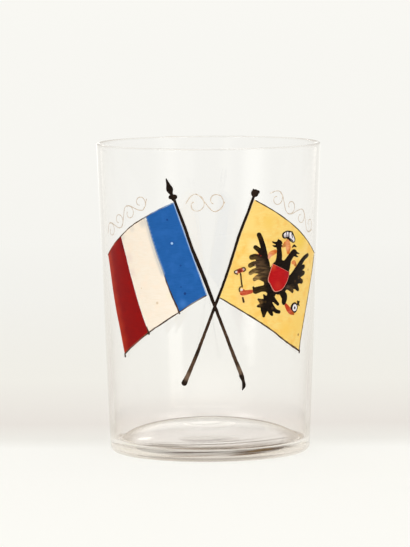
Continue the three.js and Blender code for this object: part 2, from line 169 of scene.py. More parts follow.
HEEL_TOP, HEEL_END = 3.6, 5.0  # below the first height the glass is a solid ring, above the other not
STREAK_DEPTH = 60.0  # half the depth of a streak, from front to back
RAGGED_EDGES = (70, 70, 1100)  # how many ripples of a streak's edge fit in a metre, each way
HEEL_TILT = 0.03  # how much the streaks round the heel climb towards the right
# Round the heel the greys are painted shade, the browns are brown streaks, and the last three pale ones are
# painted highlights.
HEEL_SHADES_STREAKS_AND_HIGHLIGHTS = [  # middle across, height, half length and half thickness in mm, and colour
    (0.0, 1.6, 44.0, 2.6, "#d8cfc6"),
    (0.0, 4.9, 48.0, 1.0, "#cdc6c0"),
    (3.0, 6.4, 34.0, 0.24, "#9d968f"),
    (-17.0, 5.9, 14.0, 0.3, "#b0a8a0"),
    (-5.5, 3.75, 20.0, 0.44, "#4a2612"),
    (-4.5, 3.75, 19.0, 0.3, "#210b05"),
    (18.0, 3.2, 19.0, 0.95, "#44280a"),
    (13.0, 2.2, 12.0, 0.42, "#4c2c10"),
    (-5.0, 2.5, 18.0, 0.25, "#8a7464"),
    (0.0, 0.25, 44.0, 0.3, "#c0b8b1"),
    (-30.0, 3.7, 5.0, 0.4, "#fffdf0"),
    (-28.5, 5.7, 4.5, 0.35, "#fffdf0"),
    (33.0, 3.1, 3.0, 0.4, "#fffdf0"),
]


def heel_shade_streaks_and_highlights(tree, place, colour):
    """Lays the bands round the heel, where the eye looks along the batch: painted grey shade of the thick
    glass, brown streaks, and pale painted highlights.
    """
    sheared = add(tree, "ShaderNodeVectorMath", {
        0: place,
        1: (HEEL_TILT, 0, 0),
    }, operation="DOT_PRODUCT")
    sheared = add(tree, "ShaderNodeCombineXYZ", {"Z": sheared})
    level = add(tree, "ShaderNodeVectorMath", {0: place, 1: sheared}, operation="SUBTRACT")
    drawn = add(tree, "ShaderNodeMapping", {"Vector": place, "Scale": RAGGED_EDGES})
    drawn = add(tree, "ShaderNodeTexNoise", {"Vector": drawn, "Scale": 1.0, "Detail": 3.0})
    for across, height, length, thickness, tone in HEEL_SHADES_STREAKS_AND_HIGHLIGHTS:
        scale = Vector((1 / length, 1 / STREAK_DEPTH, 1 / thickness))
        middle = Vector((across, -FOOT_RADIUS, height)) * scale
        spot = add(tree, "ShaderNodeVectorMath", {0: level, 1: scale / MM}, operation="MULTIPLY")
        away = add(tree, "ShaderNodeVectorMath", {0: spot, 1: middle}, operation="DISTANCE")
        away = add(tree, "ShaderNodeMath", {0: away, 1: drawn}, operation="ADD")
        share = add(tree, "ShaderNodeMapRange", {
            "Value": away,
            "From Min": 1.5,
            "From Max": 0.8,
        }, interpolation_type="SMOOTHSTEP")
        colour = add(tree, "ShaderNodeMix", {0: share, 6: colour, 7: ink(tone)}, data_type="RGBA")
    return colour


def near_ring(tree, place, radius, height, reach, core):
    """How near the surface is to a ring round the axis, 0 past its reach and 1 in its core, in mm."""
    level = add(tree, "ShaderNodeVectorMath", {0: place, 1: (1, 1, 0)}, operation="MULTIPLY")
    spot = add(tree, "ShaderNodeCombineXYZ", {
        "X": add(tree, "ShaderNodeVectorMath", {0: level}, "Value", operation="LENGTH"),
        "Z": add(tree, "ShaderNodeSeparateXYZ", {"Vector": place}, "Z"),
    })
    ring = (radius * MM, 0, height * MM)
    away = add(tree, "ShaderNodeVectorMath", {0: spot, 1: ring}, "Value", operation="DISTANCE")
    return add(tree, "ShaderNodeMapRange", {
        "Value": away,
        "From Min": reach * MM,
        "From Max": core * MM,
    }, interpolation_type="SMOOTHSTEP")


BROWN_LINE_RING = (33.2, 4.3, 1.4, 0.5)  # its radius, height, reach and core
BROWN_LINE_DRIFTS = (90, 90, 900)  # how many fit in a metre, each way


def brown_corner_line(tree, place, colour):
    """Lays a brown line round the corner where the floor meets the wall."""
    across = add(tree, "ShaderNodeSeparateXYZ", {"Vector": place}, output="X")
    caught = near_ring(tree, place, *BROWN_LINE_RING)
    drift = add(tree, "ShaderNodeMapping", {"Vector": place, "Scale": BROWN_LINE_DRIFTS})
    drift = add(tree, "ShaderNodeTexNoise", {"Vector": drift, "Scale": 1.0, "Detail": 3.0})
    side = add(tree, "ShaderNodeMapRange", {
        "Value": across,
        "From Min": -30 * MM,
        "From Max": 20 * MM,
        "To Min": -0.12,
        "To Max": 0.12,
    })
    drift = add(tree, "ShaderNodeMath", {0: drift, 1: side}, operation="ADD")
    dense = add(tree, "ShaderNodeMapRange", {"Value": drift, "From Min": 0.42, "From Max": 0.6})
    brown_share = add(tree, "ShaderNodeMath", {0: caught, 1: dense}, operation="MULTIPLY")
    return add(tree, "ShaderNodeMix", {0: brown_share, 6: colour, 7: ink("#a08a76")}, data_type="RGBA")


ABOVE_CREST = 0.4  # how far above the top of the floor its grey ends


def glass_tint_and_painted_shade(tree, place, on_wall, amid):
    """Nearly white, with painted shade where the eye looks along the glass: a grey at the outline of
    the wall, a dark line on the crest of the floor, grey bands, brown streaks and painted highlights
    round the heel, and a brown line in the corner."""
    height = add(tree, "ShaderNodeSeparateXYZ", {"Vector": place}, output="Z")
    facing = add(tree, "ShaderNodeLayerWeight", {"Blend": 0.5}, output="Facing")
    # Painted shade: a grey where the wall is seen edge-on, at its outline.
    outline = add(tree, "ShaderNodeMapRange", {
        "Value": facing,
        "From Min": 0.55,
        "From Max": 1.0,
        "To Max": on_wall,
    }, interpolation_type="SMOOTHSTEP")
    tint = add(tree, "ShaderNodeMix", {0: on_wall, 6: ink("#fdfbfa"), 7: ink("#ffffff")}, data_type="RGBA")
    tint = add(tree, "ShaderNodeMix", {0: outline, 6: tint, 7: ink("#dedad5")}, data_type="RGBA")
    floor_top = FLOOR_HEIGHT + FLOOR_RISE
    on_floor = add(tree, "ShaderNodeMapRange", {
        "Value": height,
        "From Min": (floor_top + ABOVE_CREST) * MM,
        "From Max": floor_top * MM,
        "To Max": amid,
    })
    # Painted shade: a dark line on the crest of the floor, where it is seen edge-on.
    crest = add(tree, "ShaderNodeMapRange", {
        "Value": facing,
        "From Min": 0.935,
        "From Max": 0.985,
        "To Max": on_floor,
    }, interpolation_type="SMOOTHSTEP")
    tint = add(tree, "ShaderNodeMix", {0: crest, 6: tint, 7: ink("#2b2724")}, data_type="RGBA")
    return brown_corner_line(tree, place, heel_shade_streaks_and_highlights(tree, place, tint))


BEHIND_FLOOR = (34.4, 9.0, 2.8, 1.2)  # a ring in the wall: its radius, height, reach and core


def way_tint(tree, place, on_wall, above_heel, amid):
    """What its long way takes from light that was caught in the glass: least in the wall, more in the
    heel and the floor, and most right behind the floor's edge."""
    way = add(tree, "ShaderNodeMix", {0: above_heel, 6: ink("#fbf8f4"), 7: ink("#ebe6e0")}, data_type="RGBA")
    way = add(tree, "ShaderNodeMix", {0: on_wall, 6: way, 7: ink("#fcfbfa")}, data_type="RGBA")
    behind_floor = near_ring(tree, place, *BEHIND_FLOOR)
    behind_floor = add(tree, "ShaderNodeMath", {0: behind_floor, 1: amid}, operation="MULTIPLY")
    return add(tree, "ShaderNodeMix", {0: behind_floor, 6: way, 7: ink("#cfcac5")}, data_type="RGBA")


WAVES = (60, 60, 18)  # how many fit in a metre, each way: 17 mm wide and 55 mm tall
BASE = (0, 8.0, 33.6, 33.0)  # a ball on the axis that holds the floor and the underside, not the wall
WALL_BEGINS, WALL_FULL = 8.0, 16.0  # the heights where the wall's look begins and is full
MIDDLE_ENDS, MIDDLE_FULL = 28.0, 16.0  # how far to either side the middle's look ends and is full


def clear_blown_glass():
    """Clear glass with a trace of grey in the batch, painted shade and a few painted highlights where the
    eye looks along it, and soft waves on its face. Light that is caught between its faces is let out after
    one turn, or after three at the floor, tinted by its long way."""
    material, tree = new_material("clear_blown_glass")
    place = add(tree, "ShaderNodeTexCoord", output="Object")
    across = add(tree, "ShaderNodeSeparateXYZ", {"Vector": place}, output="X")
    height = add(tree, "ShaderNodeSeparateXYZ", {"Vector": place}, output="Z")
    on_wall = add(tree, "ShaderNodeMapRange", {
        "Value": height,
        "From Min": WALL_BEGINS * MM,
        "From Max": WALL_FULL * MM,
    })
    above_heel = add(tree, "ShaderNodeMapRange", {
        "Value": height,
        "From Min": HEEL_TOP * MM,
        "From Max": HEEL_END * MM,
    })
    amid = add(tree, "ShaderNodeMapRange", {
        "Value": add(tree, "ShaderNodeMath", {0: across}, operation="ABSOLUTE"),
        "From Min": MIDDLE_ENDS * MM,
        "From Max": MIDDLE_FULL * MM,
        "To Min": 0.3,
    })
    waves = add(tree, "ShaderNodeMapping", {"Vector": place, "Scale": WAVES})
    waves = add(tree, "ShaderNodeTexNoise", {"Vector": waves, "Scale": 1.0, "Detail": 1.0})
    bump = add(tree, "ShaderNodeBump", {"Height": waves, "Strength": 0.4, "Distance": 0.08 * MM})
    glass = add(tree, "ShaderNodeBsdfPrincipled", {
        "Base Color": glass_tint_and_painted_shade(tree, place, on_wall, amid),
        "Roughness": 0.01,
        "IOR": 1.5,
        "Transmission Weight": 1.0,
        "Normal": bump,
    })
    on_base = near_ring(tree, place, *BASE)
    on_base = add(tree, "ShaderNodeMath", {0: on_base, 1: above_heel}, operation="MULTIPLY")
    turns = add(tree, "ShaderNodeMapRange", {"Value": on_base, "To Min": 0.5, "To Max": 2.5})
    turned = add(tree, "ShaderNodeLightPath", output="Glossy Depth")
    caught = add(tree, "ShaderNodeMath", {0: turned, 1: turns}, operation="GREATER_THAN")
    way = way_tint(tree, place, on_wall, above_heel, amid)
    let_out = add(tree, "ShaderNodeBsdfTransparent", {"Color": way})
    body = add(tree, "ShaderNodeMixShader", {0: caught, 1: glass, 2: let_out})
    shadow = add(tree, "ShaderNodeLightPath", output="Is Shadow Ray")
    passing = add(tree, "ShaderNodeBsdfTransparent", {"Color": ink("#f4f3f0")})
    both = add(tree, "ShaderNodeMixShader", {0: shadow, 1: body, 2: passing})
    add(tree, "ShaderNodeOutputMaterial", {"Surface": both})
    return material


def new_piece(bm, name, material):
    """Makes an object of a bmesh in metres and puts it in the scene."""
    mesh = bpy.data.meshes.new(name)
    bm.to_mesh(mesh)
    bm.free()
    mesh.materials.append(material)
    piece = bpy.data.objects.new(name, mesh)
    bpy.context.scene.collection.objects.link(piece)
    return piece


def place_piece(bm, name, material, nodes):
    """Makes a smooth piece, puts it on the object and lets it stand for CAD nodes."""
    piece = new_piece(bm, name, material)
    piece.name = name + "_finish"
    piece.data.shade_smooth()
    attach(piece, "root")
    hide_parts(*nodes)


bm = bmesh.new()
verts = [bm.verts.new((x, 0, z)) for x, z in glass_profile()]
edges = [bm.edges.new(pair) for pair in zip(verts, verts[1:])]
bmesh.ops.spin(bm, geom=verts + edges, cent=(0, 0, 0), axis=(0, 0, 1), angle=math.tau,
               steps=STEPS_ROUND, use_merge=True)
bmesh.ops.remove_doubles(bm, verts=bm.verts, dist=0.001)
bmesh.ops.recalc_face_normals(bm, faces=bm.faces)
blow_uneven(bm)
bmesh.ops.scale(bm, vec=(MM, MM, MM), verts=bm.verts)
place_piece(bm, "glass_tumbler", clear_blown_glass(), ["glass_tumbler"])

# The stripes of the tricolour
# Three coats of opaque enamel, glass powder in oil brushed on side by side and melted in the kiln.
# Each is a skin a tenth of a millimetre thick with a rounded edge and faint brush marks.
COAT = 0.12  # one coat of enamel
SUNK = 0.03  # how far a coat has melted into the glass
EDGE_ROUNDING = 0.1
SHARP = 1.0  # radians between two faces, past which melting rounds the edge between them
WOBBLE, WOBBLE_LENGTH = 0.07, 1.6  # how far a painter's hand strays, and over what length
ASIDE = Vector((0, 0, 7.5))  # upwards the hand strays by the same noise, read somewhere else
HOIST_SIDE = [(-0.7, 59.0), (-3.05, 65.8), (-5.65, 73.0), (-8.4, 80.7), (-12.25, 91.3)]
BLUE_WHITE = [(-10.5, 52.9), (-13.5, 59.2), (-16.4, 66.5), (-19.7, 74.9), (-23.4, 86.0)]
WHITE_RED = [(-22.5, 45.2), (-26.3, 53.8), (-30.8, 65.6), (-33.0, 71.8), (-35.7, 78.6)]
FLY_SIDE = [(-34.6, 36.7), (-37.1, 44.6), (-39.8, 52.2), (-42.2, 60.0), (-44.1, 67.1), (-45.5, 71.4)]
TOP_SIDE = [FLY_SIDE[-1], (-40.9, 75.0), WHITE_RED[-1], (-29.5, 82.8), BLUE_WHITE[-1], (-18.0, 88.8),
            HOIST_SIDE[-1]]
FOOT_SIDE = [FLY_SIDE[0], (-28.6, 41.0), WHITE_RED[0], (-16.4, 49.1), BLUE_WHITE[0], (-5.8, 56.0),
             HOIST_SIDE[0]]


def along(points, share):
    """The place at a share of the way along a smooth line through points."""
    spans = len(points) - 1
    span = min(int(share * spans), spans - 1)
    t = share * spans - span
    points = [Vector(point) for point in points]
    points = [2 * points[0] - points[1], *points, 2 * points[-1] - points[-2]]
    a, b, c, d = points[span : span + 4]
    return b + 0.5 * t * ((c - a) + t * ((2 * a - 5 * b + 4 * c - d) + t * (3 * b - a - 3 * c + d)))


def between(foot, top, start, end, u, v):
    """The place at shares u and v across an area with four smooth sides."""
    upwards = along(foot, u).lerp(along(top, u), v)
    sideways = along(start, v).lerp(along(end, v), u)
    low_corners = Vector(foot[0]).lerp(Vector(foot[-1]), u)
    high_corners = Vector(top[0]).lerp(Vector(top[-1]), u)
    return upwards + sideways - low_corners.lerp(high_corners, v)


def length_of(side):
    return (Vector(side[-1]) - Vector(side[0])).length


def thicken(bm, thickness, rounding):
    """Raises a flat skin to its thickness and rounds the edge of its upper face."""
    raised = bmesh.ops.extrude_face_region(bm, geom=bm.faces[:])["geom"]
    face = [g for g in raised if isinstance(g, bmesh.types.BMVert)]
    halfway = face[0].co.z + thickness / 2
    bmesh.ops.translate(bm, vec=(0, 0, thickness), verts=face)
    bmesh.ops.recalc_face_normals(bm, faces=bm.faces)
    sharp = [edge for edge in bm.edges if edge.calc_face_angle(0) > SHARP]
    rim = [edge for edge in sharp if min(vert.co.z for vert in edge.verts) > halfway]
    bmesh.ops.bevel(bm, geom=rim, offset=rounding, segments=3, profile=0.5, affect="EDGES", material=-1)


def painted_area(foot, top, start, end, lift, pale_sides=(1, 1, 1, 1), grain=0.45):
    """A brushed coat that fills an area of the sheet, its edge rounded by melting. Each point keeps
    its distance from the nearest side that is paler at its edge."""
    bm = bmesh.new()
    wide = max(length_of(foot), length_of(top))
    tall = max(length_of(start), length_of(end))
    bmesh.ops.create_grid(bm, x_segments=round(wide / grain), y_segments=round(tall / grain), size=0.5)
    edge = bm.verts.layers.float.new("edge")
    for vert in bm.verts:
        u, v = vert.co.x + 0.5, vert.co.y + 0.5
        gaps = (v * tall, (1 - v) * tall, u * wide, (1 - u) * wide)
        vert[edge] = min(gap for gap, pale in zip(gaps, pale_sides) if pale)
        x, y = between(foot, top, start, end, u, v)
        vert.co = (x, y, lift - SUNK)
    thicken(bm, COAT + SUNK, EDGE_ROUNDING)
    return bm


def on_glass(bm):
    """Bends a flat coat round the outside of the glass, and keeps its place on the sheet for the
    brush marks."""
    sheet = bm.verts.layers.float_vector.new("sheet")
    for vert in bm.verts:
        spot = Vector((vert.co.x, vert.co.y, 0)) / WOBBLE_LENGTH
        x = vert.co.x + WOBBLE * noise.noise(spot)
        y = vert.co.y + WOBBLE * noise.noise(spot + ASIDE)
        lift = vert.co.z
        vert[sheet] = (x, y, lift)
        turn, radius = x / outer_radius(y), outer_radius(y) + lift
        vert.co = Vector((radius * math.sin(turn), -radius * math.cos(turn), y)) * MM
    bmesh.ops.recalc_face_normals(bm, faces=bm.faces)


MARK_HEIGHT = 0.15  # a mark's middle lies about as high as the face of a coat


def lay_marks(tree, sheet, colour, marks):
    """Lays round marks over a colour, each an x, y, radius, colour, crisp share and strength."""
    for x, y, radius, tone, core, most in marks:
        middle = (x, y, MARK_HEIGHT)
        away = add(tree, "ShaderNodeVectorMath", {0: sheet, 1: middle}, operation="DISTANCE")
        share = add(tree, "ShaderNodeMapRange", {
            "Value": away,
            "From Min": radius,
            "From Max": core * radius,
            "To Max": most,
        }, interpolation_type="SMOOTHSTEP")
        colour = add(tree, "ShaderNodeMix", {0: share, 6: colour, 7: ink(tone)}, data_type="RGBA")
    return colour


SOFT, CRISP = 0.1, 0.6  # the share of a mark's radius that its full strength fills
FULL = 0.9  # the strength of a mark at its middle
# How many streaks along and across the brush, patches and grains fit in a millimetre. They are drawn
# as coarse as the render can show them.
STREAKS, PATCHES, GRAINS = (0.35, 2.4, 1), 0.28, 2.6


def fired_enamel(name, body, streak, patch, speck, slant=0.0, shades=(), spots=(), rim=None,
                 rim_width=0.5, fleck=0.5, dry=0.0, gloss=0.25, shine=0.05):
    """Fired enamel. The eye sees brush streaks along slant degrees, soft patches of another
    strength, a fine grain of specks, a thin edge of another tone, and here and there a mark.
    shades are (x, y, radius, colour) on the sheet with a wide soft edge, spots have a crisp one.
    A dry brush breaks the shades up into streaks."""
    material, tree = new_material(name)
    sheet = add(tree, "ShaderNodeAttribute", output="Vector", attribute_name="sheet")
    flow = add(tree, "ShaderNodeMapping", {
        "Vector": sheet,
        "Rotation": (0, 0, -math.radians(slant)),
        "Scale": STREAKS,
    })
    streaks = add(tree, "ShaderNodeTexNoise", {"Vector": flow, "Scale": 1.0, "Detail": 4.0})
    clouds = add(tree, "ShaderNodeTexNoise", {"Vector": sheet, "Scale": PATCHES, "Detail": 3.0})
    grains = add(tree, "ShaderNodeTexNoise", {
        "Vector": sheet,
        "Scale": GRAINS,
        "Detail": 2.0,
        "Roughness": 0.6,
    })
    layers = (  # a pattern, the values where it starts and is full, its greatest share and its tone
        (streaks, 0.42, 0.68, 1.0, streak),
        (clouds, 0.48, 0.70, 1.0, patch),
        (grains, 0.60, 0.80, fleck, speck),
    )
    colour = ink(body)
    for pattern, start, end, most, tone in layers:
        share = add(tree, "ShaderNodeMapRange", {
            "Value": pattern,
            "From Min": start,
            "From Max": end,
            "To Max": most,
        })
        colour = add(tree, "ShaderNodeMix", {0: share, 6: colour, 7: ink(tone)}, data_type="RGBA")
    strength = FULL
    if dry:
        strength = add(tree, "ShaderNodeMapRange", {
            "Value": streaks,
            "From Min": 0.42,
            "From Max": 0.58,
            "To Min": FULL * (1 - dry),
            "To Max": 1.0,
        })
    colour = lay_marks(tree, sheet, colour, [(*shade, SOFT, strength) for shade in shades])
    colour = lay_marks(tree, sheet, colour, [(*spot, CRISP, FULL) for spot in spots])
    if rim:
        edge = add(tree, "ShaderNodeAttribute", output="Fac", attribute_name="edge")
        share = add(tree, "ShaderNodeMapRange", {
            "Value": edge,
            "From Min": rim_width,
            "From Max": 0.3 * rim_width,
            "To Max": FULL,
        }, interpolation_type="SMOOTHSTEP")
        colour = add(tree, "ShaderNodeMix", {0: share, 6: colour, 7: ink(rim)}, data_type="RGBA")
    relief = add(tree, "ShaderNodeMath", {0: streaks, 1: grains}, operation="ADD")
    bump = add(tree, "ShaderNodeBump", {"Height": relief, "Strength": 0.5, "Distance": 0.03 * MM})
    rough = add(tree, "ShaderNodeMapRange", {"Value": clouds, "To Min": gloss, "To Max": gloss + 0.15})
    shader = add(tree, "ShaderNodeBsdfPrincipled", {
        "Base Color": colour,
        "Roughness": rough,
        "Specular IOR Level": shine,
        "Normal": bump,
    })
    add(tree, "ShaderNodeOutputMaterial", {"Surface": shader})
    return material


# Shares of the way up the border, where blue was brushed thin over cream and looks grey.
GREY_SHARES = [mix(0.5, 0.98, share) for share in shares(16)]
STRIPES = {  # its corner of the flag, its sides, which of them are pale, its slot and its enamel
    "blue_stripe": (4, BLUE_WHITE, HOIST_SIDE, (1, 0, 0, 1), "blue_enamel", fired_enamel(
        "fired_blue_enamel", "#2461ab", "#205ba3", "#2a66b2", "#1c4d92", slant=70,
        shades=[(-9.3, 56.0, 2.2, "#3f78c2")]
        + [(*along(BLUE_WHITE, share), 1.0, "#7b9ac4") for share in GREY_SHARES],
        # The pale spot in the middle of the first one is a painted highlight on a bubble in the blue.
        spots=[(-13.1, 77.0, 1.1, "#1d56a2"), (-13.1, 77.0, 0.55, "#a9d0f6"), (-8.5, 59.5, 0.6, "#1a3a78"),
               (-14.8, 85.2, 0.5, "#1a4489"), (-10.0, 69.3, 0.45, "#1c478c"),
               (-16.5, 66.6, 0.4, "#1c478c"), (-9.9, 61.8, 0.35, "#1c4789")],
        rim="#a6bfe4", rim_width=0.5,
    )),
    "white_stripe": (2, WHITE_RED, BLUE_WHITE, (1, 1, 1, 1), "cream_enamel", fired_enamel(
        "fired_cream_enamel", "#fcf0e1", "#f9ebd9", "#fdeddb", "#f0dfca", slant=70,
        shades=[(-24.6, 83.6, 2.4, "#e4dbd0"), (-34.8, 78.2, 2.0, "#e4dace"), (-29.6, 81.4, 1.8, "#ebe1d5"),
                (-14.2, 58.6, 2.0, "#faefd8"), (-24.6, 50.0, 2.4, "#fbf0df"), (-31.4, 71.0, 3.0, "#f4e1d5"),
                (-30.0, 66.0, 2.6, "#f4e1d5")]
        + [(*along(BLUE_WHITE, share), 1.7, "#d2cdc8") for share in GREY_SHARES],
        spots=[(-18.9, 55.9, 0.6, "#e2cbac"), (-25.5, 60.8, 0.3, "#e6cfae")],
        rim="#f6efe6", rim_width=0.4,
    )),
    "red_stripe": (0, FLY_SIDE, WHITE_RED, (1, 1, 1, 0), "red_enamel", fired_enamel(
        "fired_red_enamel", "#8f100f", "#870e10", "#960f0d", "#740a0a", slant=72, fleck=0.4,
        shades=[(*along(FLY_SIDE, share), 4.6, "#b2311c") for share in shares(8)]
        + [(-39.6, 75.9, 3.0, "#9e2014"), (-34.2, 75.6, 3.4, "#730c10")],
        rim="#cf6f58", rim_width=0.5,
    )),
}
STRIPE_GAP = 0.1

for name, (corner, far, near, pale_sides, slot, enamel) in STRIPES.items():
    start = [(x + (STRIPE_GAP if far != FLY_SIDE else 0), y) for x, y in far]
    end = [(x - (STRIPE_GAP if near != HOIST_SIDE else 0), y) for x, y in near]
    foot = [start[0], FOOT_SIDE[corner + 1], end[0]]
    top = [start[-1], TOP_SIDE[corner + 1], end[-1]]
    bm = painted_area(foot, top, start, end, 0, pale_sides)
    on_glass(bm)
    place_piece(bm, name, enamel, [name])

# The yellow flag's field
# One large coat of warm yellow, brushed on in several goes, so that it is a little deeper in some
# places and has burst bubbles near its fly.
YELLOW_FLY = [(37.5, 37.2), (39.0, 43.0), (41.5, 50.0), (44.6, 57.5), (48.0, 65.0), (50.5, 71.2)]
YELLOW_POLE = [(3.2, 58.2), (5.8, 64.3), (8.5, 72.2), (11.2, 80.1), (14.5, 88.1), (16.3, 92.1)]
YELLOW_FOOT = [YELLOW_FLY[0], (30.0, 41.1), (22.4, 46.2), (13.5, 51.8), YELLOW_POLE[0]]
YELLOW_TOP = [YELLOW_FLY[-1], (45.5, 74.4), (35.5, 81.1), (25.3, 87.2), YELLOW_POLE[-1]]

bm = painted_area(YELLOW_FLY, YELLOW_POLE, YELLOW_FOOT, YELLOW_TOP, 0)
on_glass(bm)
place_piece(bm, "yellow_field", fired_enamel(
    "fired_yellow_enamel", "#fad478", "#fadb88", "#f8c763", "#f3b852", slant=65,
    shades=[(14.5, 83.0, 5.0, "#fbd982"), (36.5, 47.0, 6.0, "#fad270"), (12.0, 58.0, 4.0, "#fbd080"),
            (22.0, 84.0, 4.0, "#f8cf6c"), (16.0, 76.0, 3.5, "#fbdf92"), (37.6, 76.8, 5.5, "#f5d05c"),
            (45.5, 73.0, 4.0, "#f9c862"), (30.0, 45.5, 5.0, "#fbcd66"), (45.0, 62.0, 4.0, "#f9cb66")],
    spots=[(43.7, 65.7, 0.5, "#c79c5c"), (36.8, 43.2, 0.6, "#a87a40"), (43.0, 62.6, 0.35, "#d9ad62")],
    rim="#f3cf8e", rim_width=0.4,
), ["yellow_field"])

# The brown lines round the flags
# A dark brown drawn with a fine pen along the edges of the coats, after they were dry. The line is
# thin and uneven, and it is darkest where the pen was set down.
INSET = 0.12
END_TURNS = (1.35, 0.9, 0.45)  # radians at which the rings of a stroke's round end stand
THINNEST, THINNEST_BODY = 0.05, 0.35  # a stroke's least width, and its height beside a full one's
BULGE_BELOW = 0.3  # the share of its roundness that a stroke keeps on its underside
BODY, PEN_BODY = 0.16, 0.1  # how high a full stroke of the brush and of the pen stands


def lay_stroke(bm, stations, lift, body=BODY, sides=8, steps=5):
    """One brush or pen stroke through stations of x, y and width: a low rounded ridge of enamel."""
    already = len(bm.verts)
    count = steps * (len(stations) - 1)
    line = [along(stations, share) for share in shares(count)]
    heads = [(after - before).xy.normalized() for before, after in zip([line[0], *line], line[1:])]
    heads.append(heads[-1])
    rings = [(spot.xy, max(spot.z, THINNEST), head) for spot, head in zip(line, heads)]
    rounding = [(math.sin(turn), math.cos(turn)) for turn in END_TURNS]
    first, last = rings[0], rings[-1]
    before = [(first[0] - first[2] * first[1] / 2 * s, first[1] * c, first[2]) for s, c in rounding]
    after = [(last[0] + last[2] * last[1] / 2 * s, last[1] * c, last[2]) for s, c in reversed(rounding)]
    matrices = []
    for spot, width, head in [*before, *rings, *after]:
        turn = Matrix.Rotation(math.atan2(head.y, head.x), 4, "Z")
        size = Matrix.Diagonal((1, width, 2 * body * min(1, THINNEST_BODY + width), 1))
        matrices.append(Matrix.Translation((spot.x, spot.y, lift)) @ turn @ size)
    across = Matrix.Rotation(math.pi / 2, 4, "Y")
    ring = bmesh.ops.create_circle(bm, segments=sides, radius=0.5, matrix=matrices[0] @ across)["verts"]
    edges = list(dict.fromkeys(edge for vert in ring for edge in vert.link_edges))
    bmesh.ops.edgeloop_fill(bm, edges=edges)
    for previous, matrix in zip(matrices, matrices[1:]):
        made = bmesh.ops.extrude_edge_only(bm, edges=edges)["geom"]
        ring = [g for g in made if isinstance(g, bmesh.types.BMVert)]
        edges = [g for g in made if isinstance(g, bmesh.types.BMEdge) and set(g.verts) <= set(ring)]
        bmesh.ops.transform(bm, matrix=matrix @ previous.inverted(), verts=ring)
    bmesh.ops.edgeloop_fill(bm, edges=edges)
    for vert in bm.verts[already:]:
        if vert.co.z < lift:
            vert.co.z = mix(lift, vert.co.z, BULGE_BELOW)


brown_pen_enamel = fired_enamel(
    "fired_brown_pen_enamel", "#4e382a", "#33241a", "#6a5240", "#23170f",
    shades=[(*along(BLUE_WHITE, share), 2.0, "#b4b4b6") for share in GREY_SHARES]
    + [(-14.0, 89.6, 6.0, "#8fa9cf"), (-19.5, 87.8, 4.0, "#8aa0c4"), (-5.0, 56.5, 5.0, "#8f8a88"),
       (-33.0, 80.4, 2.5, "#7d6a5a"), (-41.5, 74.6, 6.0, "#b8604e"), (-28.0, 41.0, 5.6, "#8c4a3e"),
       (50.0, 70.5, 3.0, "#6b5136"), (45.5, 60.0, 9.0, "#7a5f38"), (40.5, 47.5, 6.0, "#75592f")],
)
FOOT_TICKS = [
    [(-11.4, 54.6, 0.35), (-10.9, 53.4, 0.5), (-10.5, 52.5, 0.6)],
    [(-23.3, 47.2, 0.35), (-22.9, 46.0, 0.6), (-22.4, 44.9, 0.75)],
    [(-34.45, 37.0, 0.6), (-34.3, 36.2, 1.0)],
]
FLY_TICK = [[(37.9, 37.6, 0.5), (37.6, 36.9, 0.9)]]
UNEVEN, UNEVEN_LENGTH = 0.45, 1.8  # how much the pen's width varies, and over what length
PEN_LINES = {  # the side it follows, its stray from it, its start and end, its widths, more strokes
    "tricolour_top_line": (TOP_SIDE, 0, -INSET, 0.0, 0.985, 0.42, 0.42, []),
    "tricolour_foot_line": (FOOT_SIDE, 0, INSET, 0.0, 0.985, 0.55, 0.4, FOOT_TICKS),
    "blue_white_line": (BLUE_WHITE, 0, 0, 0.0, 0.97, 0.52, 0.34, []),
    "yellow_top_line": (YELLOW_TOP, 0, -INSET, 0.0, 0.985, 0.4, 0.42, []),
    "yellow_fly_line": (YELLOW_FLY, -INSET, 0, 0.0, 0.97, 0.44, 0.36, []),
    "yellow_foot_line": (YELLOW_FOOT, 0, INSET, 0.0, 0.985, 0.62, 0.46, FLY_TICK),
}

for name, (side, dx, dy, first, last, wide, narrow, more) in PEN_LINES.items():
    stations = []
    for share in shares(28):
        x, y = along(side, mix(first, last, share))
        uneven = UNEVEN * noise.noise(Vector((x, y, 3)) / UNEVEN_LENGTH)
        width = mix(wide, narrow, share) * (1 + uneven)
        stations.append((x + dx, y + dy, width))
    bm = bmesh.new()
    for stroke in [stations, *more]:
        lay_stroke(bm, stroke, COAT, body=PEN_BODY, steps=3)
    on_glass(bm)
    place_piece(bm, name, brown_pen_enamel, [name])

# The two poles
# Each is a few strokes of black with a full brush, thickest where the brush was pressed at the foot.
# The black burned to brown where it was laid thin. The spear pole was painted over the other.
CROSSING = (1.9, 55.0)
SPEAR_TIP = (-15.1, 99.5)
SPEAR_STROKES = [
    [(-12.2, 92.2, 1.1), (-10.5, 88.0, 1.1), (-8.2, 82.0, 1.15), (-6.2, 76.0, 1.2), (-3.8, 70.0, 1.35),
     (-1.4, 64.0, 1.35), (*CROSSING, 1.2), (5.3, 46.0, 1.15), (8.3, 38.0, 1.3), (11.2, 30.8, 1.6)],
    [(*SPEAR_TIP, 0.4), (-14.4, 97.6, 1.5), (-13.8, 95.8, 2.7), (-13.2, 94.1, 1.1)],
    [(-13.5, 93.1, 1.6), (-11.9, 93.2, 1.8)],
    [(-13.5, 95.2, 1.2), (-12.5, 92.4, 1.4)],
    [(11.4, 30.2, 1.6), (11.9, 28.4, 1.2), (12.1, 27.0, 1.4), (11.6, 25.5, 0.5)],
    [(10.6, 30.4, 0.6), (11.3, 29.3, 0.8)],
]
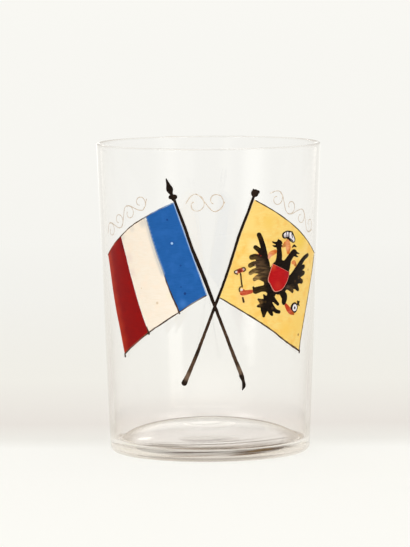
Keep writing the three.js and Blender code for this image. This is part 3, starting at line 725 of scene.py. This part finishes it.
BALL_STROKES = [
    [(16.0, 93.0, 1.05), (14.0, 88.0, 1.05), (10.7, 80.0, 1.1), (8.1, 72.0, 1.1), (5.4, 64.0, 1.1),
     (*CROSSING, 1.1), (-1.5, 46.0, 1.1), (-4.6, 38.0, 1.3), (-7.6, 31.0, 1.6), (-9.0, 28.1, 2.1)],
    [(16.4, 94.25, 2.8), (16.6, 94.25, 2.8)],
    [(17.2, 94.6, 1.7), (17.7, 94.6, 1.4)],
    [(15.9, 95.6, 0.5), (16.2, 95.0, 0.8)],
]
RAISED_RADIUS, RAMP_LENGTH = 1.5, 3.0  # of the upper pole round the crossing
MELT_STRETCH = 4.0  # a coat is stretched this much in thickness while its strokes are joined
EVERY_WAY = {"use_axis_x": True, "use_axis_y": True, "use_axis_z": True}


def melt_together(bm, grain):
    """Joins overlapping strokes into one skin and softens it, as the kiln does."""
    bmesh.ops.scale(bm, vec=(1, 1, MELT_STRETCH), verts=bm.verts)
    mesh = bpy.data.meshes.new("strokes")
    bm.to_mesh(mesh)
    strokes = bpy.data.objects.new("strokes", mesh)
    bpy.context.scene.collection.objects.link(strokes)
    melt = strokes.modifiers.new("melt", "REMESH")
    melt.mode, melt.voxel_size = "VOXEL", grain
    skin = strokes.evaluated_get(bpy.context.evaluated_depsgraph_get())
    bm.clear()
    bm.from_mesh(skin.to_mesh())
    skin.to_mesh_clear()
    bpy.data.objects.remove(strokes)
    bpy.data.meshes.remove(mesh)
    for _ in range(2):
        bmesh.ops.smooth_vert(bm, verts=bm.verts, factor=0.5, **EVERY_WAY)
    bmesh.ops.scale(bm, vec=(1, 1, 1 / MELT_STRETCH), verts=bm.verts)


def over_the_other(bm):
    """Raises the upper pole where it passes over the lower one."""
    for vert in bm.verts:
        away = math.hypot(vert.co.x - CROSSING[0], vert.co.y - CROSSING[1])
        vert.co.z += COAT * (1 - min(1, max(0, (away - RAISED_RADIUS) / RAMP_LENGTH)))


black_pole_enamel = fired_enamel(
    "fired_black_pole_enamel", "#1a110c", "#261a12", "#2c1e15", "#0d0806", slant=-68,
    shades=[(3.7, 50.5, 4.0, "#33241a"), (5.6, 45.5, 5.0, "#4a3628"), (8.3, 38.0, 7.0, "#4f3c2f"),
            (0.0, 49.5, 4.5, "#3a291e"), (-2.4, 43.5, 6.0, "#4c3829"), (-6.2, 34.5, 5.5, "#594434"),
            (10.6, 32.4, 3.0, "#75604f"), (-7.8, 30.4, 2.6, "#7d6756")],
    spots=[(12.0, 27.0, 1.3, "#1b120e"), (-9.2, 27.9, 0.9, "#2a1d16"), (11.0, 30.2, 0.7, "#1b120e")],
)

for name, strokes in (("spear_pole", SPEAR_STROKES), ("ball_pole", BALL_STROKES)):
    bm = bmesh.new()
    for stroke in strokes:
        lay_stroke(bm, stroke, lift=0.02, sides=12)
    melt_together(bm, grain=0.1)
    if name == "spear_pole":
        over_the_other(bm)
    on_glass(bm)
    place_piece(bm, name, black_pole_enamel, [name])

# The two-headed eagle
# Black laid feather by feather, each one stroke from its tip to its root, over the dry yellow. Where
# the brush ran thin, on the left wing and the left leg, it fired to a warm brown.
LEFT_WING = [
    [(18.0, 79.6, 1.9), (18.9, 77.6, 2.1), (19.8, 74.6, 2.3), (20.4, 71.0, 2.9), (21.2, 67.5, 2.8),
     (20.9, 61.4, 2.2)],
    [(16.6, 75.3, 1.7), (17.8, 74.4, 1.8), (19.3, 72.6, 2.2)],
    [(15.2, 71.9, 2.1), (16.8, 72.0, 2.2), (19.6, 70.8, 2.6)],
    [(14.6, 69.1, 1.8), (16.3, 69.6, 1.9), (19.6, 68.8, 2.8)],
    [(14.7, 66.4, 1.6), (16.1, 67.1, 1.9), (19.6, 67.2, 3.0)],
    [(16.2, 64.2, 1.5), (17.7, 64.9, 2.0), (20.3, 64.5, 3.2)],
    [(17.0, 70.3, 1.0), (18.0, 68.4, 2.4), (18.8, 66.4, 2.0)],
]
RIGHT_WING = [
    [(43.1, 70.9, 1.6), (40.4, 70.1, 1.9), (37.4, 68.0, 2.4), (34.2, 65.2, 2.6), (30.8, 62.4, 2.8)],
    [(40.1, 67.1, 1.7), (37.7, 66.3, 2.3), (34.0, 63.8, 3.0)],
    [(40.1, 64.9, 1.7), (37.4, 64.4, 2.5), (33.6, 62.8, 3.0)],
    [(38.7, 62.0, 1.9), (36.6, 62.4, 2.4), (33.0, 61.6, 3.0)],
    [(36.2, 59.5, 1.8), (34.8, 60.6, 2.4), (31.4, 61.2, 2.6)],
    [(33.0, 59.0, 1.6), (32.1, 59.9, 2.1), (29.8, 61.2, 2.4)],
]
TAIL = [
    [(19.8, 58.4, 0.7), (20.6, 57.3, 1.9), (22.0, 56.0, 2.4)],
    [(17.7, 57.0, 0.9), (19.2, 56.1, 2.2), (21.4, 55.6, 2.6)],
    [(17.4, 54.6, 0.8), (18.9, 54.9, 1.9), (21.2, 55.0, 2.6)],
    [(18.9, 54.4, 1.0), (19.2, 53.0, 1.2), (19.6, 51.8, 0.9)],
    [(19.8, 51.2, 1.3), (20.0, 52.8, 2.4), (21.2, 54.8, 2.8)],
    [(23.2, 51.4, 1.2), (22.4, 52.8, 2.1), (21.8, 54.8, 2.6)],
    [(26.4, 52.1, 1.3), (24.8, 52.6, 1.6), (23.2, 54.2, 1.9), (22.0, 56.2, 2.2)],
    [(25.8, 54.9, 1.3), (24.6, 56.0, 1.6), (23.0, 57.6, 2.2)],
    [(23.6, 59.2, 3.2), (22.2, 57.2, 3.4), (21.5, 55.4, 3.2)],
]
HEADS = [
    [(25.9, 68.6, 3.4), (26.5, 71.6, 2.7), (26.4, 74.2, 2.3), (26.2, 75.6, 2.7)],
    [(26.0, 76.6, 1.6), (26.1, 77.4, 0.8)],
    [(26.4, 77.2, 0.7), (27.2, 76.9, 0.7), (27.7, 76.2, 0.6)],
    [(25.6, 76.4, 1.0), (24.4, 76.5, 0.8), (23.5, 76.9, 0.5)],
    [(25.6, 75.4, 1.0), (24.5, 75.3, 0.8), (23.6, 75.6, 0.4)],
    [(26.4, 75.6, 0.9), (27.9, 75.2, 0.5)],
    [(28.3, 67.6, 3.6), (30.6, 69.8, 2.9), (32.5, 71.7, 2.7), (33.7, 72.5, 2.7), (34.3, 72.5, 2.4)],
    [(34.2, 72.5, 1.5), (35.8, 72.2, 0.8), (36.9, 71.9, 0.4)],
    [(34.0, 71.9, 1.3), (35.2, 71.2, 0.8), (36.2, 70.9, 0.4)],
    [(31.0, 69.6, 2.6), (30.7, 67.4, 2.2)],
]
LEGS = [
    [(21.4, 60.8, 2.9), (19.0, 60.7, 2.3), (16.6, 60.2, 2.5)],
    [(15.7, 61.4, 0.7), (16.0, 60.6, 1.0)],
    [(27.4, 59.2, 2.6), (28.9, 57.3, 3.0), (28.7, 55.5, 2.3)],
]
BREAST = [
    [(22.6, 60.4, 4.4), (22.9, 64.8, 4.2), (24.9, 68.4, 3.2)],
    [(26.0, 60.4, 4.4), (26.4, 65.0, 5.0), (27.6, 68.2, 4.2)],
    [(28.8, 61.0, 3.8), (29.4, 63.6, 4.0), (29.8, 66.0, 3.2)],
]
ON_YELLOW = COAT

bm = bmesh.new()
for stroke in [*LEFT_WING, *RIGHT_WING, *TAIL, *HEADS, *LEGS, *BREAST]:
    lay_stroke(bm, stroke, ON_YELLOW, sides=12)
melt_together(bm, grain=0.13)
on_glass(bm)
place_piece(bm, "black_eagle", fired_enamel(
    "fired_black_feather_enamel", "#140c08", "#20140c", "#1b110a", "#070404", slant=20,
    shades=[(18.8, 66.4, 4.6, "#6a5238"), (15.4, 66.4, 3.2, "#a08350"), (17.0, 64.2, 3.0, "#9a7c4c"),
            (14.4, 68.8, 1.8, "#735c30"), (17.6, 69.8, 3.4, "#5a4430"), (15.2, 71.9, 2.8, "#604c28"),
            (17.0, 75.0, 1.8, "#3a2c0c"), (18.3, 79.0, 2.6, "#33230c"), (18.0, 60.3, 4.0, "#3f3015"),
            (19.6, 63.6, 2.4, "#3d2a16"), (18.2, 55.8, 2.0, "#6e5230"), (19.8, 51.6, 1.6, "#33240e"),
            (23.4, 53.8, 0.9, "#4c3820"), (20.4, 55.9, 0.7, "#5c4526"), (36.6, 63.6, 1.0, "#5a4020"),
            (32.6, 59.8, 2.2, "#6b5231"), (36.4, 59.8, 1.8, "#40300f"), (38.6, 62.9, 1.6, "#53380f"),
            (34.4, 62.2, 0.9, "#4d371d"), (39.9, 65.0, 1.8, "#3d2c0a"), (30.4, 60.2, 1.6, "#57493c"),
            (42.2, 70.6, 2.2, "#33250c")],
    spots=[(17.6, 73.0, 0.5, "#8a3428"), (18.6, 72.3, 0.35, "#7a1f18"), (16.4, 69.0, 0.45, "#9a7a5e"),
           (22.0, 66.0, 0.3, "#8a4a30")],
    dry=0.75, gloss=0.3,
), ["black_eagle"])

# The shield on the eagle's breast
# A pale pink underlay and a strong red over it. The red stops short of the edge, so that the pink
# shows as a thin line along the foot and both sides.
SHIELD_MIDDLE = (26.5, 65.6)
SHIELD_SIDES = (  # foot, top, left and right
    [(22.3, 61.9), (24.1, 59.4), (26.9, 59.6), (28.7, 60.7)],
    [(23.4, 69.3), (27.4, 67.5), (31.2, 65.8)],
    [(22.3, 61.9), (21.4, 63.6), (22.4, 67.0), (23.4, 69.3)],
    [(28.7, 60.7), (30.4, 63.2), (31.2, 65.8)],
)
ON_EAGLE = 2.4 * COAT  # just above the feathers
RED_OVER_PINK = 0.04
SHIELD_COATS = {  # its size beside the underlay's, its height, its slot and its enamel
    "shield_edging": (1.0, ON_EAGLE, "pink_enamel", fired_enamel(
        "fired_pink_enamel", "#d98a78", "#e3a592", "#cf7564", "#b8503f")),
    "red_shield": (0.955, ON_EAGLE + RED_OVER_PINK, "scarlet_enamel", fired_enamel(
        "fired_scarlet_enamel", "#b6141a", "#c01f20", "#ae1013", "#990910", slant=60,
        shades=[(23.6, 68.6, 2.4, "#cf4426"), (25.6, 61.4, 2.6, "#c22a22"), (30.2, 65.4, 2.2, "#a81a24"),
                (25.8, 68.2, 1.6, "#a80f2a")])),
}

for name, (share, lift, slot, enamel) in SHIELD_COATS.items():
    middle = Vector(SHIELD_MIDDLE)
    sides = [[tuple(middle.lerp(Vector(point), share)) for point in side] for side in SHIELD_SIDES]
    bm = painted_area(*sides, lift, grain=0.25)
    on_glass(bm)
    place_piece(bm, name, enamel, [name])

# The crowns, ribbons, feet, sceptre and orb
# Small dabs of the same enamels round the eagle, each put on with the tip of the brush, and thin dark
# touches over them.
ON_DABS = ON_EAGLE + COAT
TOUCH_BODY = 0.09  # how high the dark touches over the dabs stand
black_dab = fired_enamel("fired_black_dab_enamel", "#1c120c", "#2f2117", "#33241a", "#0f0a08")
orange_dab = fired_enamel(
    "fired_orange_enamel", "#dd7c38", "#e79a62", "#cf6424", "#f0b48c", slant=60, fleck=0.6,
    shades=[(22.2, 71.8, 1.8, "#e8a283"), (28.8, 75.2, 1.4, "#b87f42"), (31.5, 73.4, 1.2, "#c9702c"),
            (30.2, 76.2, 1.6, "#e79a68"), (30.2, 74.4, 1.4, "#eda878"), (34.9, 68.2, 1.2, "#b06a26"),
            (24.8, 73.4, 1.2, "#cc682a")])
vermilion_dab = fired_enamel(
    "fired_vermilion_enamel", "#bd4429", "#cf6848", "#ae3a20", "#e09478", slant=10, fleck=0.6,
    shades=[(33.6, 51.0, 2.0, "#b0561c"), (30.4, 53.6, 2.2, "#c43a1a")],
    spots=[(11.3, 60.75, 0.65, "#f6ead8"), (9.4, 67.0, 0.55, "#f4e9e2"), (12.1, 67.8, 0.5, "#cbbab4"),
           (10.8, 67.3, 0.9, "#6f271c")])
brown_dab = fired_enamel("fired_brown_dab_enamel", "#43301f", "#2b1d13", "#5a4530", "#1f140e")
pearl_dab = fired_enamel(
    "fired_pearl_enamel", "#f0ebef", "#dbd2e0", "#f6f2f3", "#b9aebd", fleck=0.8,
    shades=[(30.3, 78.6, 1.0, "#8f869c"), (29.0, 78.6, 1.0, "#b5a9a4")])

DABS = {  # enamel, slot, and strokes with their height above the glass
    "right_head_crown": (black_dab, "black_enamel", [
        (ON_YELLOW, [(33.0, 74.5, 0.5), (34.0, 75.0, 0.9), (35.1, 74.5, 0.5)]),
    ]),
    "crown_ground": (black_dab, "black_enamel", [
        (ON_YELLOW, [(28.9, 79.0, 2.4), (30.4, 79.1, 2.9), (32.1, 78.3, 3.6), (33.4, 77.2, 2.5)]),
        (ON_DABS, [(28.6, 78.0, 0.4), (30.2, 78.1, 0.4), (31.7, 77.4, 0.5), (32.9, 76.6, 0.4)]),
        (ON_DABS, [(30.9, 80.2, 0.5), (30.8, 79.3, 0.5), (31.0, 78.2, 0.4)]),
        (ON_DABS, [(32.6, 79.7, 0.7), (32.4, 78.8, 0.5), (32.7, 77.8, 0.4)]),
        (ON_DABS, [(29.6, 79.9, 0.4), (29.6, 78.9, 0.3), (29.9, 78.0, 0.3)]),
    ]),
    "crown_left_lobe": (pearl_dab, "pearl_enamel", [(ON_EAGLE, [(29.2, 79.0, 1.7), (30.2, 79.2, 1.9)])]),
    "crown_right_lobe": (pearl_dab, "pearl_enamel", [
        (ON_EAGLE, [(31.7, 78.9, 1.9), (32.3, 78.0, 2.2), (33.1, 77.2, 1.7)]),
    ]),
    "left_ribbon": (orange_dab, "orange_enamel", [
        (ON_YELLOW, [(24.6, 73.4, 1.6), (23.4, 73.0, 1.9), (22.5, 72.5, 1.8), (22.0, 71.6, 1.2)]),
    ]),
    "middle_ribbon": (orange_dab, "orange_enamel", [
        (ON_YELLOW, [(30.2, 76.4, 1.5), (29.2, 75.7, 1.8), (28.2, 75.1, 1.0)]),
        (ON_YELLOW, [(30.5, 76.5, 2.0), (30.8, 74.8, 2.6), (30.8, 73.0, 1.7)]),
    ]),
    "right_ribbon": (orange_dab, "orange_enamel", [
        (ON_YELLOW, [(33.1, 69.0, 1.2), (34.0, 69.0, 1.7), (34.8, 68.1, 1.3)]),
    ]),
    "left_claw": (vermilion_dab, "vermilion_enamel", [
        (ON_YELLOW, [(15.0, 59.9, 1.3), (12.8, 59.6, 1.9), (11.6, 59.5, 1.9)]),
        (ON_YELLOW, [(12.2, 60.4, 0.8), (11.1, 60.8, 0.8)]),
    ]),
    "right_claw": (vermilion_dab, "vermilion_enamel", [
        (ON_YELLOW, [(29.7, 54.2, 1.4), (30.8, 52.9, 2.0), (32.2, 51.7, 2.0), (33.7, 50.9, 1.0)]),
    ]),
    "sceptre_head": (vermilion_dab, "vermilion_enamel", [
        (ON_YELLOW, [(9.4, 66.9, 1.3), (10.8, 67.4, 1.7), (12.1, 67.8, 1.4)]),
    ]),
    "sceptre_upper_rod": (brown_dab, "brown_enamel", [
        (ON_YELLOW, [(11.05, 66.3, 0.6), (11.25, 64.0, 0.55), (11.55, 61.7, 0.6)]),
        (ON_EAGLE, [(10.1, 67.7, 0.35), (9.0, 67.3, 0.35), (8.9, 66.6, 0.45), (9.9, 66.2, 0.4)]),
        (ON_EAGLE, [(11.5, 68.3, 0.4), (12.4, 68.4, 0.4), (12.7, 67.6, 0.45), (12.1, 67.0, 0.4)]),
        (ON_EAGLE, [(11.0, 61.8, 0.35), (10.5, 61.0, 0.45), (10.6, 60.0, 0.35)]),
    ]),
    "sceptre_lower_rod": (brown_dab, "brown_enamel", [
        (ON_YELLOW, [(11.75, 57.8, 0.65), (12.1, 56.5, 0.85)]),
    ]),
    "orb_ground": (black_dab, "black_enamel", [
        (ON_YELLOW, [(34.05, 53.0, 3.95), (34.25, 53.0, 3.95)]),
        (ON_YELLOW, [(35.5, 53.7, 0.8), (37.1, 54.8, 0.9)]),
        (ON_YELLOW, [(36.2, 55.0, 0.8), (37.1, 53.6, 0.7)]),
    ]),
}

for name, (enamel, slot, strokes) in DABS.items():
    bm = bmesh.new()
    for lift, stroke in strokes:
        lay_stroke(bm, stroke, lift, body=BODY if lift < ON_DABS else TOUCH_BODY, sides=12)
    melt_together(bm, grain=0.07)
    on_glass(bm)
    place_piece(bm, name, enamel, [name])

# The orb's pearly ring
# A ring of white laid on the dark disc, whose middle is left open.
ORB_MIDDLE, ORB_RADIUS, ORB_HEART = (34.2, 53.0), 1.25, 0.5
ORB_ROUNDING = 0.08

bm = bmesh.new()
bmesh.ops.create_circle(bm, segments=32, radius=ORB_HEART)
inner = bm.edges[:]
made = bmesh.ops.extrude_edge_only(bm, edges=inner)["geom"]
outer = [g for g in made if isinstance(g, bmesh.types.BMVert)]
bmesh.ops.scale(bm, vec=(ORB_RADIUS / ORB_HEART, ORB_RADIUS / ORB_HEART, 1), verts=outer)
thicken(bm, COAT, ORB_ROUNDING)
bmesh.ops.translate(bm, vec=(*ORB_MIDDLE, ON_EAGLE), verts=bm.verts)
on_glass(bm)
place_piece(bm, "orb_ring", pearl_dab, ["orb_ring"])

# The gilding above the flags
# Thin scrolls in powdered gold, fired on at a low heat. Most of it has worn to a faint brown line.
GILT_WIDTH, GILT_BODY = 0.36, 0.05
WORN_PLACES = 0.9  # how many fit in a millimetre
CURL_SIZE, CURL_TURNS, CURL_TIGHTENING = 1.15, 0.9, 0.7
GILT_SCROLLS = {  # its start and end on the sheet, its waves and their height
    "left_gilt_scroll": ((-45.0, 78.8), (-23.0, 92.2), 2, 2.5),
    "right_gilt_scroll": ((22.6, 94.0), (47.4, 79.8), 2, 2.5),
    "middle_gilt_scroll": ((-8.0, 91.0), (5.6, 91.4), 1, 3.2),
}


def worn_gilding():
    """Gold rubbed down to its brown size. The eye sees a dull metal that breaks off in places."""
    material, tree = new_material("worn_fired_gilding")
    sheet = add(tree, "ShaderNodeAttribute", output="Vector", attribute_name="sheet")
    wear = add(tree, "ShaderNodeTexNoise", {
        "Vector": sheet,
        "Scale": WORN_PLACES,
        "Detail": 5.0,
        "Roughness": 0.7,
    })
    share = add(tree, "ShaderNodeMapRange", {"Value": wear, "From Min": 0.42, "From Max": 0.62})
    colour = add(tree, "ShaderNodeMix", {
        0: share,
        6: ink("#cdb9a4"),
        7: ink("#e6dccf"),
    }, data_type="RGBA")
    metal = add(tree, "ShaderNodeMapRange", {"Value": wear, "To Min": 0.15, "To Max": 0.5})
    shader = add(tree, "ShaderNodeBsdfPrincipled", {
        "Base Color": colour,
        "Metallic": metal,
        "Roughness": 0.45,
    })
    add(tree, "ShaderNodeOutputMaterial", {"Surface": shader})
    return material


def scroll_lines(start, end, waves, wave_height):
    """A wavy stem with a curl at every turn, as lists of stations."""
    start, end = Vector(start), Vector(end)
    ahead = end - start
    heading = math.atan2(ahead.y, ahead.x)
    across = Vector((-math.sin(heading), math.cos(heading)))
    stem = []
    for share in shares(8 * waves):
        spot = start + ahead * share + across * wave_height * math.sin(math.tau * waves * share)
        stem.append((spot.x, spot.y, GILT_WIDTH))
    lines = [stem]
    for turn in range(2 * waves):
        upward = 1 if turn % 2 == 0 else -1
        radius = CURL_SIZE * wave_height
        share = (turn + 0.5) / (2 * waves)
        middle = start + ahead * share + across * upward * (wave_height - radius)
        curl = []
        for t in shares(8):
            angle = heading + upward * (math.pi / 2 - math.tau * CURL_TURNS * t)
            away = radius * (1 - CURL_TIGHTENING * t)
            curl.append((middle.x + away * math.cos(angle), middle.y + away * math.sin(angle), GILT_WIDTH))
        lines.append(curl)
    return lines


gilding = worn_gilding()
for name, scroll in GILT_SCROLLS.items():
    bm = bmesh.new()
    for line in scroll_lines(*scroll):
        lay_stroke(bm, line, lift=0.0, body=GILT_BODY, steps=4)
    melt_together(bm, grain=0.07)
    on_glass(bm)
    place_piece(bm, name, gilding, [name])

# The table and the studio
# A plain pale sweep. Its tone follows the distance behind the glass, with a painted grey shade where it
# begins to rise, and part of it is its own light, so that it stays pale while it keeps the glass's shadow.
FLOOR_RADIUS = 14.0
# Metres behind the glass's axis, and the board's colour there, greyer with painted shade where it rises.
SWEEP_TONES_WITH_SHADE = [(0.005, "#faf9f4"), (0.030, "#f0eee8"), (0.075, "#eae5df"), (0.22, "#f2f0e9"),
               (0.56, "#f5f4ef"), (1.6, "#f7f6f1"), (6.0, "#f9f8f3")]
SHADOW_SHARE = 0.35  # of the floor's tone that comes from the lamps near the glass


def pale_sweep():
    """Matt painted board, evenly lit, with painted shade where it begins to rise."""
    material, tree = new_material("matt_pale_board")
    place = add(tree, "ShaderNodeTexCoord", output="Object")
    behind = add(tree, "ShaderNodeSeparateXYZ", {"Vector": place}, output="Y")
    colour = ink(SWEEP_TONES_WITH_SHADE[0][1])
    for (near_edge, _), (far_edge, tone) in zip(SWEEP_TONES_WITH_SHADE, SWEEP_TONES_WITH_SHADE[1:]):
        share = add(tree, "ShaderNodeMapRange", {
            "Value": behind,
            "From Min": near_edge,
            "From Max": far_edge,
        })
        colour = add(tree, "ShaderNodeMix", {0: share, 6: colour, 7: ink(tone)}, data_type="RGBA")
    away = add(tree, "ShaderNodeVectorMath", {0: place}, operation="LENGTH")
    own_share = add(tree, "ShaderNodeMapRange", {
        "Value": away,
        "From Min": 0.25,
        "From Max": 0.9,
        "To Min": 1 - SHADOW_SHARE,
    })
    seen = 0.0
    for ray in ("Is Camera Ray", "Is Glossy Ray", "Is Transmission Ray"):
        ray = add(tree, "ShaderNodeLightPath", output=ray)
        seen = add(tree, "ShaderNodeMath", {0: seen, 1: ray}, operation="MAXIMUM")
    glow = add(tree, "ShaderNodeMath", {0: own_share, 1: seen}, operation="MULTIPLY")
    lit = add(tree, "ShaderNodeBsdfDiffuse", {"Color": colour})
    own = add(tree, "ShaderNodeEmission", {"Color": colour, "Strength": 1.0})
    both = add(tree, "ShaderNodeMixShader", {0: glow, 1: lit, 2: own})
    add(tree, "ShaderNodeOutputMaterial", {"Surface": both})
    return material


bm = bmesh.new()
bmesh.ops.create_circle(bm, segments=96, radius=FLOOR_RADIUS, cap_ends=True)
floor = new_piece(bm, "floor", pale_sweep())

# The light in the room
# An even pale room, a large soft box overhead and one high on each side of the camera. White cards, seen
# only in the glass, draw the soft bands and the low glow on its wall, and the glints on its floor.
ROOM_LIGHT, ROOM_SHINE = 0.6, 0.74  # the room's strength as a light, and as mirrors show it
SOFT_BOXES = [  # name, place in metres, width and height, watts
    ("left_soft_box", (-0.85, -0.95, 1.0), (0.9, 0.9), 6.5),
    ("right_soft_box", (0.9, -0.95, 1.0), (0.9, 0.9), 7.0),
    ("top_soft_box", (0.0, 0.2, 1.6), (1.2, 1.2), 5.0),
]
AIM = Vector((0, 0, 0.055))
CARDS = [  # name, degrees from the camera's line, distance, foot, width, height, bright height, brightness
    ("left_card", -19, 0.34, 0.0, 0.13, 0.18, 0.5, 0.4),
    ("right_card", 41, 0.26, 0.0, 0.15, 0.18, 0.38, 1.05),
    ("narrow_card", 38, 0.26, 0.0, 0.06, 0.08, 0.3, 1.7),
    ("low_card", 8, 0.12, 0.0, 0.26, 0.07, 0.0, 0.5),
    ("back_card", -152, 0.35, 0.19, 0.10, 0.12, 0.5, 3.0),
    ("far_card", -174, 0.35, 0.05, 0.26, 0.12, 0.5, 0.6),
    ("wide_card", 180, 0.4, 0.0, 0.6, 0.16, 0.4, 0.25),
]


def card_light(name, bright_height, brightness):
    """A lit white card, softer towards its edges, that only reflections see."""
    material, tree = new_material(name)
    glossy = add(tree, "ShaderNodeLightPath", output="Is Glossy Ray")
    turned = add(tree, "ShaderNodeLightPath", output="Is Reflection Ray")
    shine = add(tree, "ShaderNodeMath", {0: glossy, 1: turned}, operation="MULTIPLY")
    place = add(tree, "ShaderNodeUVMap", uv_map="UVMap")
    away = add(tree, "ShaderNodeVectorMath", {
        0: place,
        1: (0.5, bright_height, 0),
    }, operation="DISTANCE")
    strength = add(tree, "ShaderNodeMapRange", {
        "Value": away,
        "From Min": 0.5,
        "From Max": 0.1,
        "To Max": brightness,
    }, interpolation_type="SMOOTHSTEP")
    clear = add(tree, "ShaderNodeBsdfTransparent")
    lit = add(tree, "ShaderNodeEmission", {"Color": ink("#f9f8f3"), "Strength": strength})
    glow = add(tree, "ShaderNodeAddShader", {0: lit, 1: clear})
    both = add(tree, "ShaderNodeMixShader", {0: shine, 1: clear, 2: glow})
    add(tree, "ShaderNodeOutputMaterial", {"Surface": both})
    return material


for name, turn, distance, foot, width, height, bright_height, brightness in CARDS:
    bm = bmesh.new()
    bm.loops.layers.uv.new("UVMap")
    upright = Matrix.Diagonal((width, 1, height, 1)) @ Matrix.Rotation(math.pi / 2, 4, "X")
    spot = (0, -distance, foot + height / 2)
    place = Matrix.Rotation(math.radians(turn), 4, "Z") @ Matrix.Translation(spot)
    bmesh.ops.create_grid(bm, x_segments=1, y_segments=1, size=0.5, matrix=place @ upright, calc_uvs=True)
    card = new_piece(bm, name, card_light("lit_white_" + name, bright_height, brightness))

world = bpy.data.worlds.new("pale_room")
world.use_nodes = True
tree = world.node_tree
tree.nodes.clear()
strength = ROOM_LIGHT
for ray, share in (("Is Camera Ray", 1.0), ("Is Transmission Ray", 1.0), ("Is Glossy Ray", ROOM_SHINE)):
    ray = add(tree, "ShaderNodeLightPath", output=ray)
    ray = add(tree, "ShaderNodeMath", {0: ray, 1: share}, operation="MULTIPLY")
    strength = add(tree, "ShaderNodeMath", {0: strength, 1: ray}, operation="MAXIMUM")
room = add(tree, "ShaderNodeBackground", {"Color": ink("#f9f8f3"), "Strength": strength})
add(tree, "ShaderNodeOutputWorld", {"Surface": room})
bpy.context.scene.world = world

for name, spot, size, power in SOFT_BOXES:
    lamp = bpy.data.lights.new(name, "AREA")
    lamp.shape = "RECTANGLE"
    lamp.size, lamp.size_y = size
    lamp.energy = power
    box = bpy.data.objects.new(name, lamp)
    box.location = spot
    box.rotation_euler = (AIM - Vector(spot)).to_track_quat("-Z", "Y").to_euler()
    bpy.context.scene.collection.objects.link(box)

# The camera
# A long lens 1.5 m in front of the glass and a little above its rim, tipped down by five degrees.
CAMERA_PLACE = (0.0, -1.4899, 0.1973)
CAMERA_YAW, CAMERA_PITCH, CAMERA_ROLL = -0.001, 0.0898, -0.006
SENSOR_WIDTH, LENS = 36.0, 276.4
camera = bpy.data.objects.new("camera", bpy.data.cameras.new("camera"))
camera.data.sensor_width = SENSOR_WIDTH
camera.data.lens = LENS
ahead = Vector((math.sin(CAMERA_YAW) * math.cos(CAMERA_PITCH), math.cos(CAMERA_YAW) * math.cos(CAMERA_PITCH),
                -math.sin(CAMERA_PITCH)))
level = ahead.cross(Vector((0, 0, 1))).normalized()
upright = level.cross(ahead)
right = level * math.cos(CAMERA_ROLL) + upright * math.sin(CAMERA_ROLL)
up = upright * math.cos(CAMERA_ROLL) - level * math.sin(CAMERA_ROLL)
camera.matrix_world = Matrix.Translation(CAMERA_PLACE) @ Matrix((right, up, -ahead)).transposed().to_4x4()
bpy.context.scene.collection.objects.link(camera)
bpy.context.scene.camera = camera
bpy.context.scene.view_settings.view_transform = "Standard"
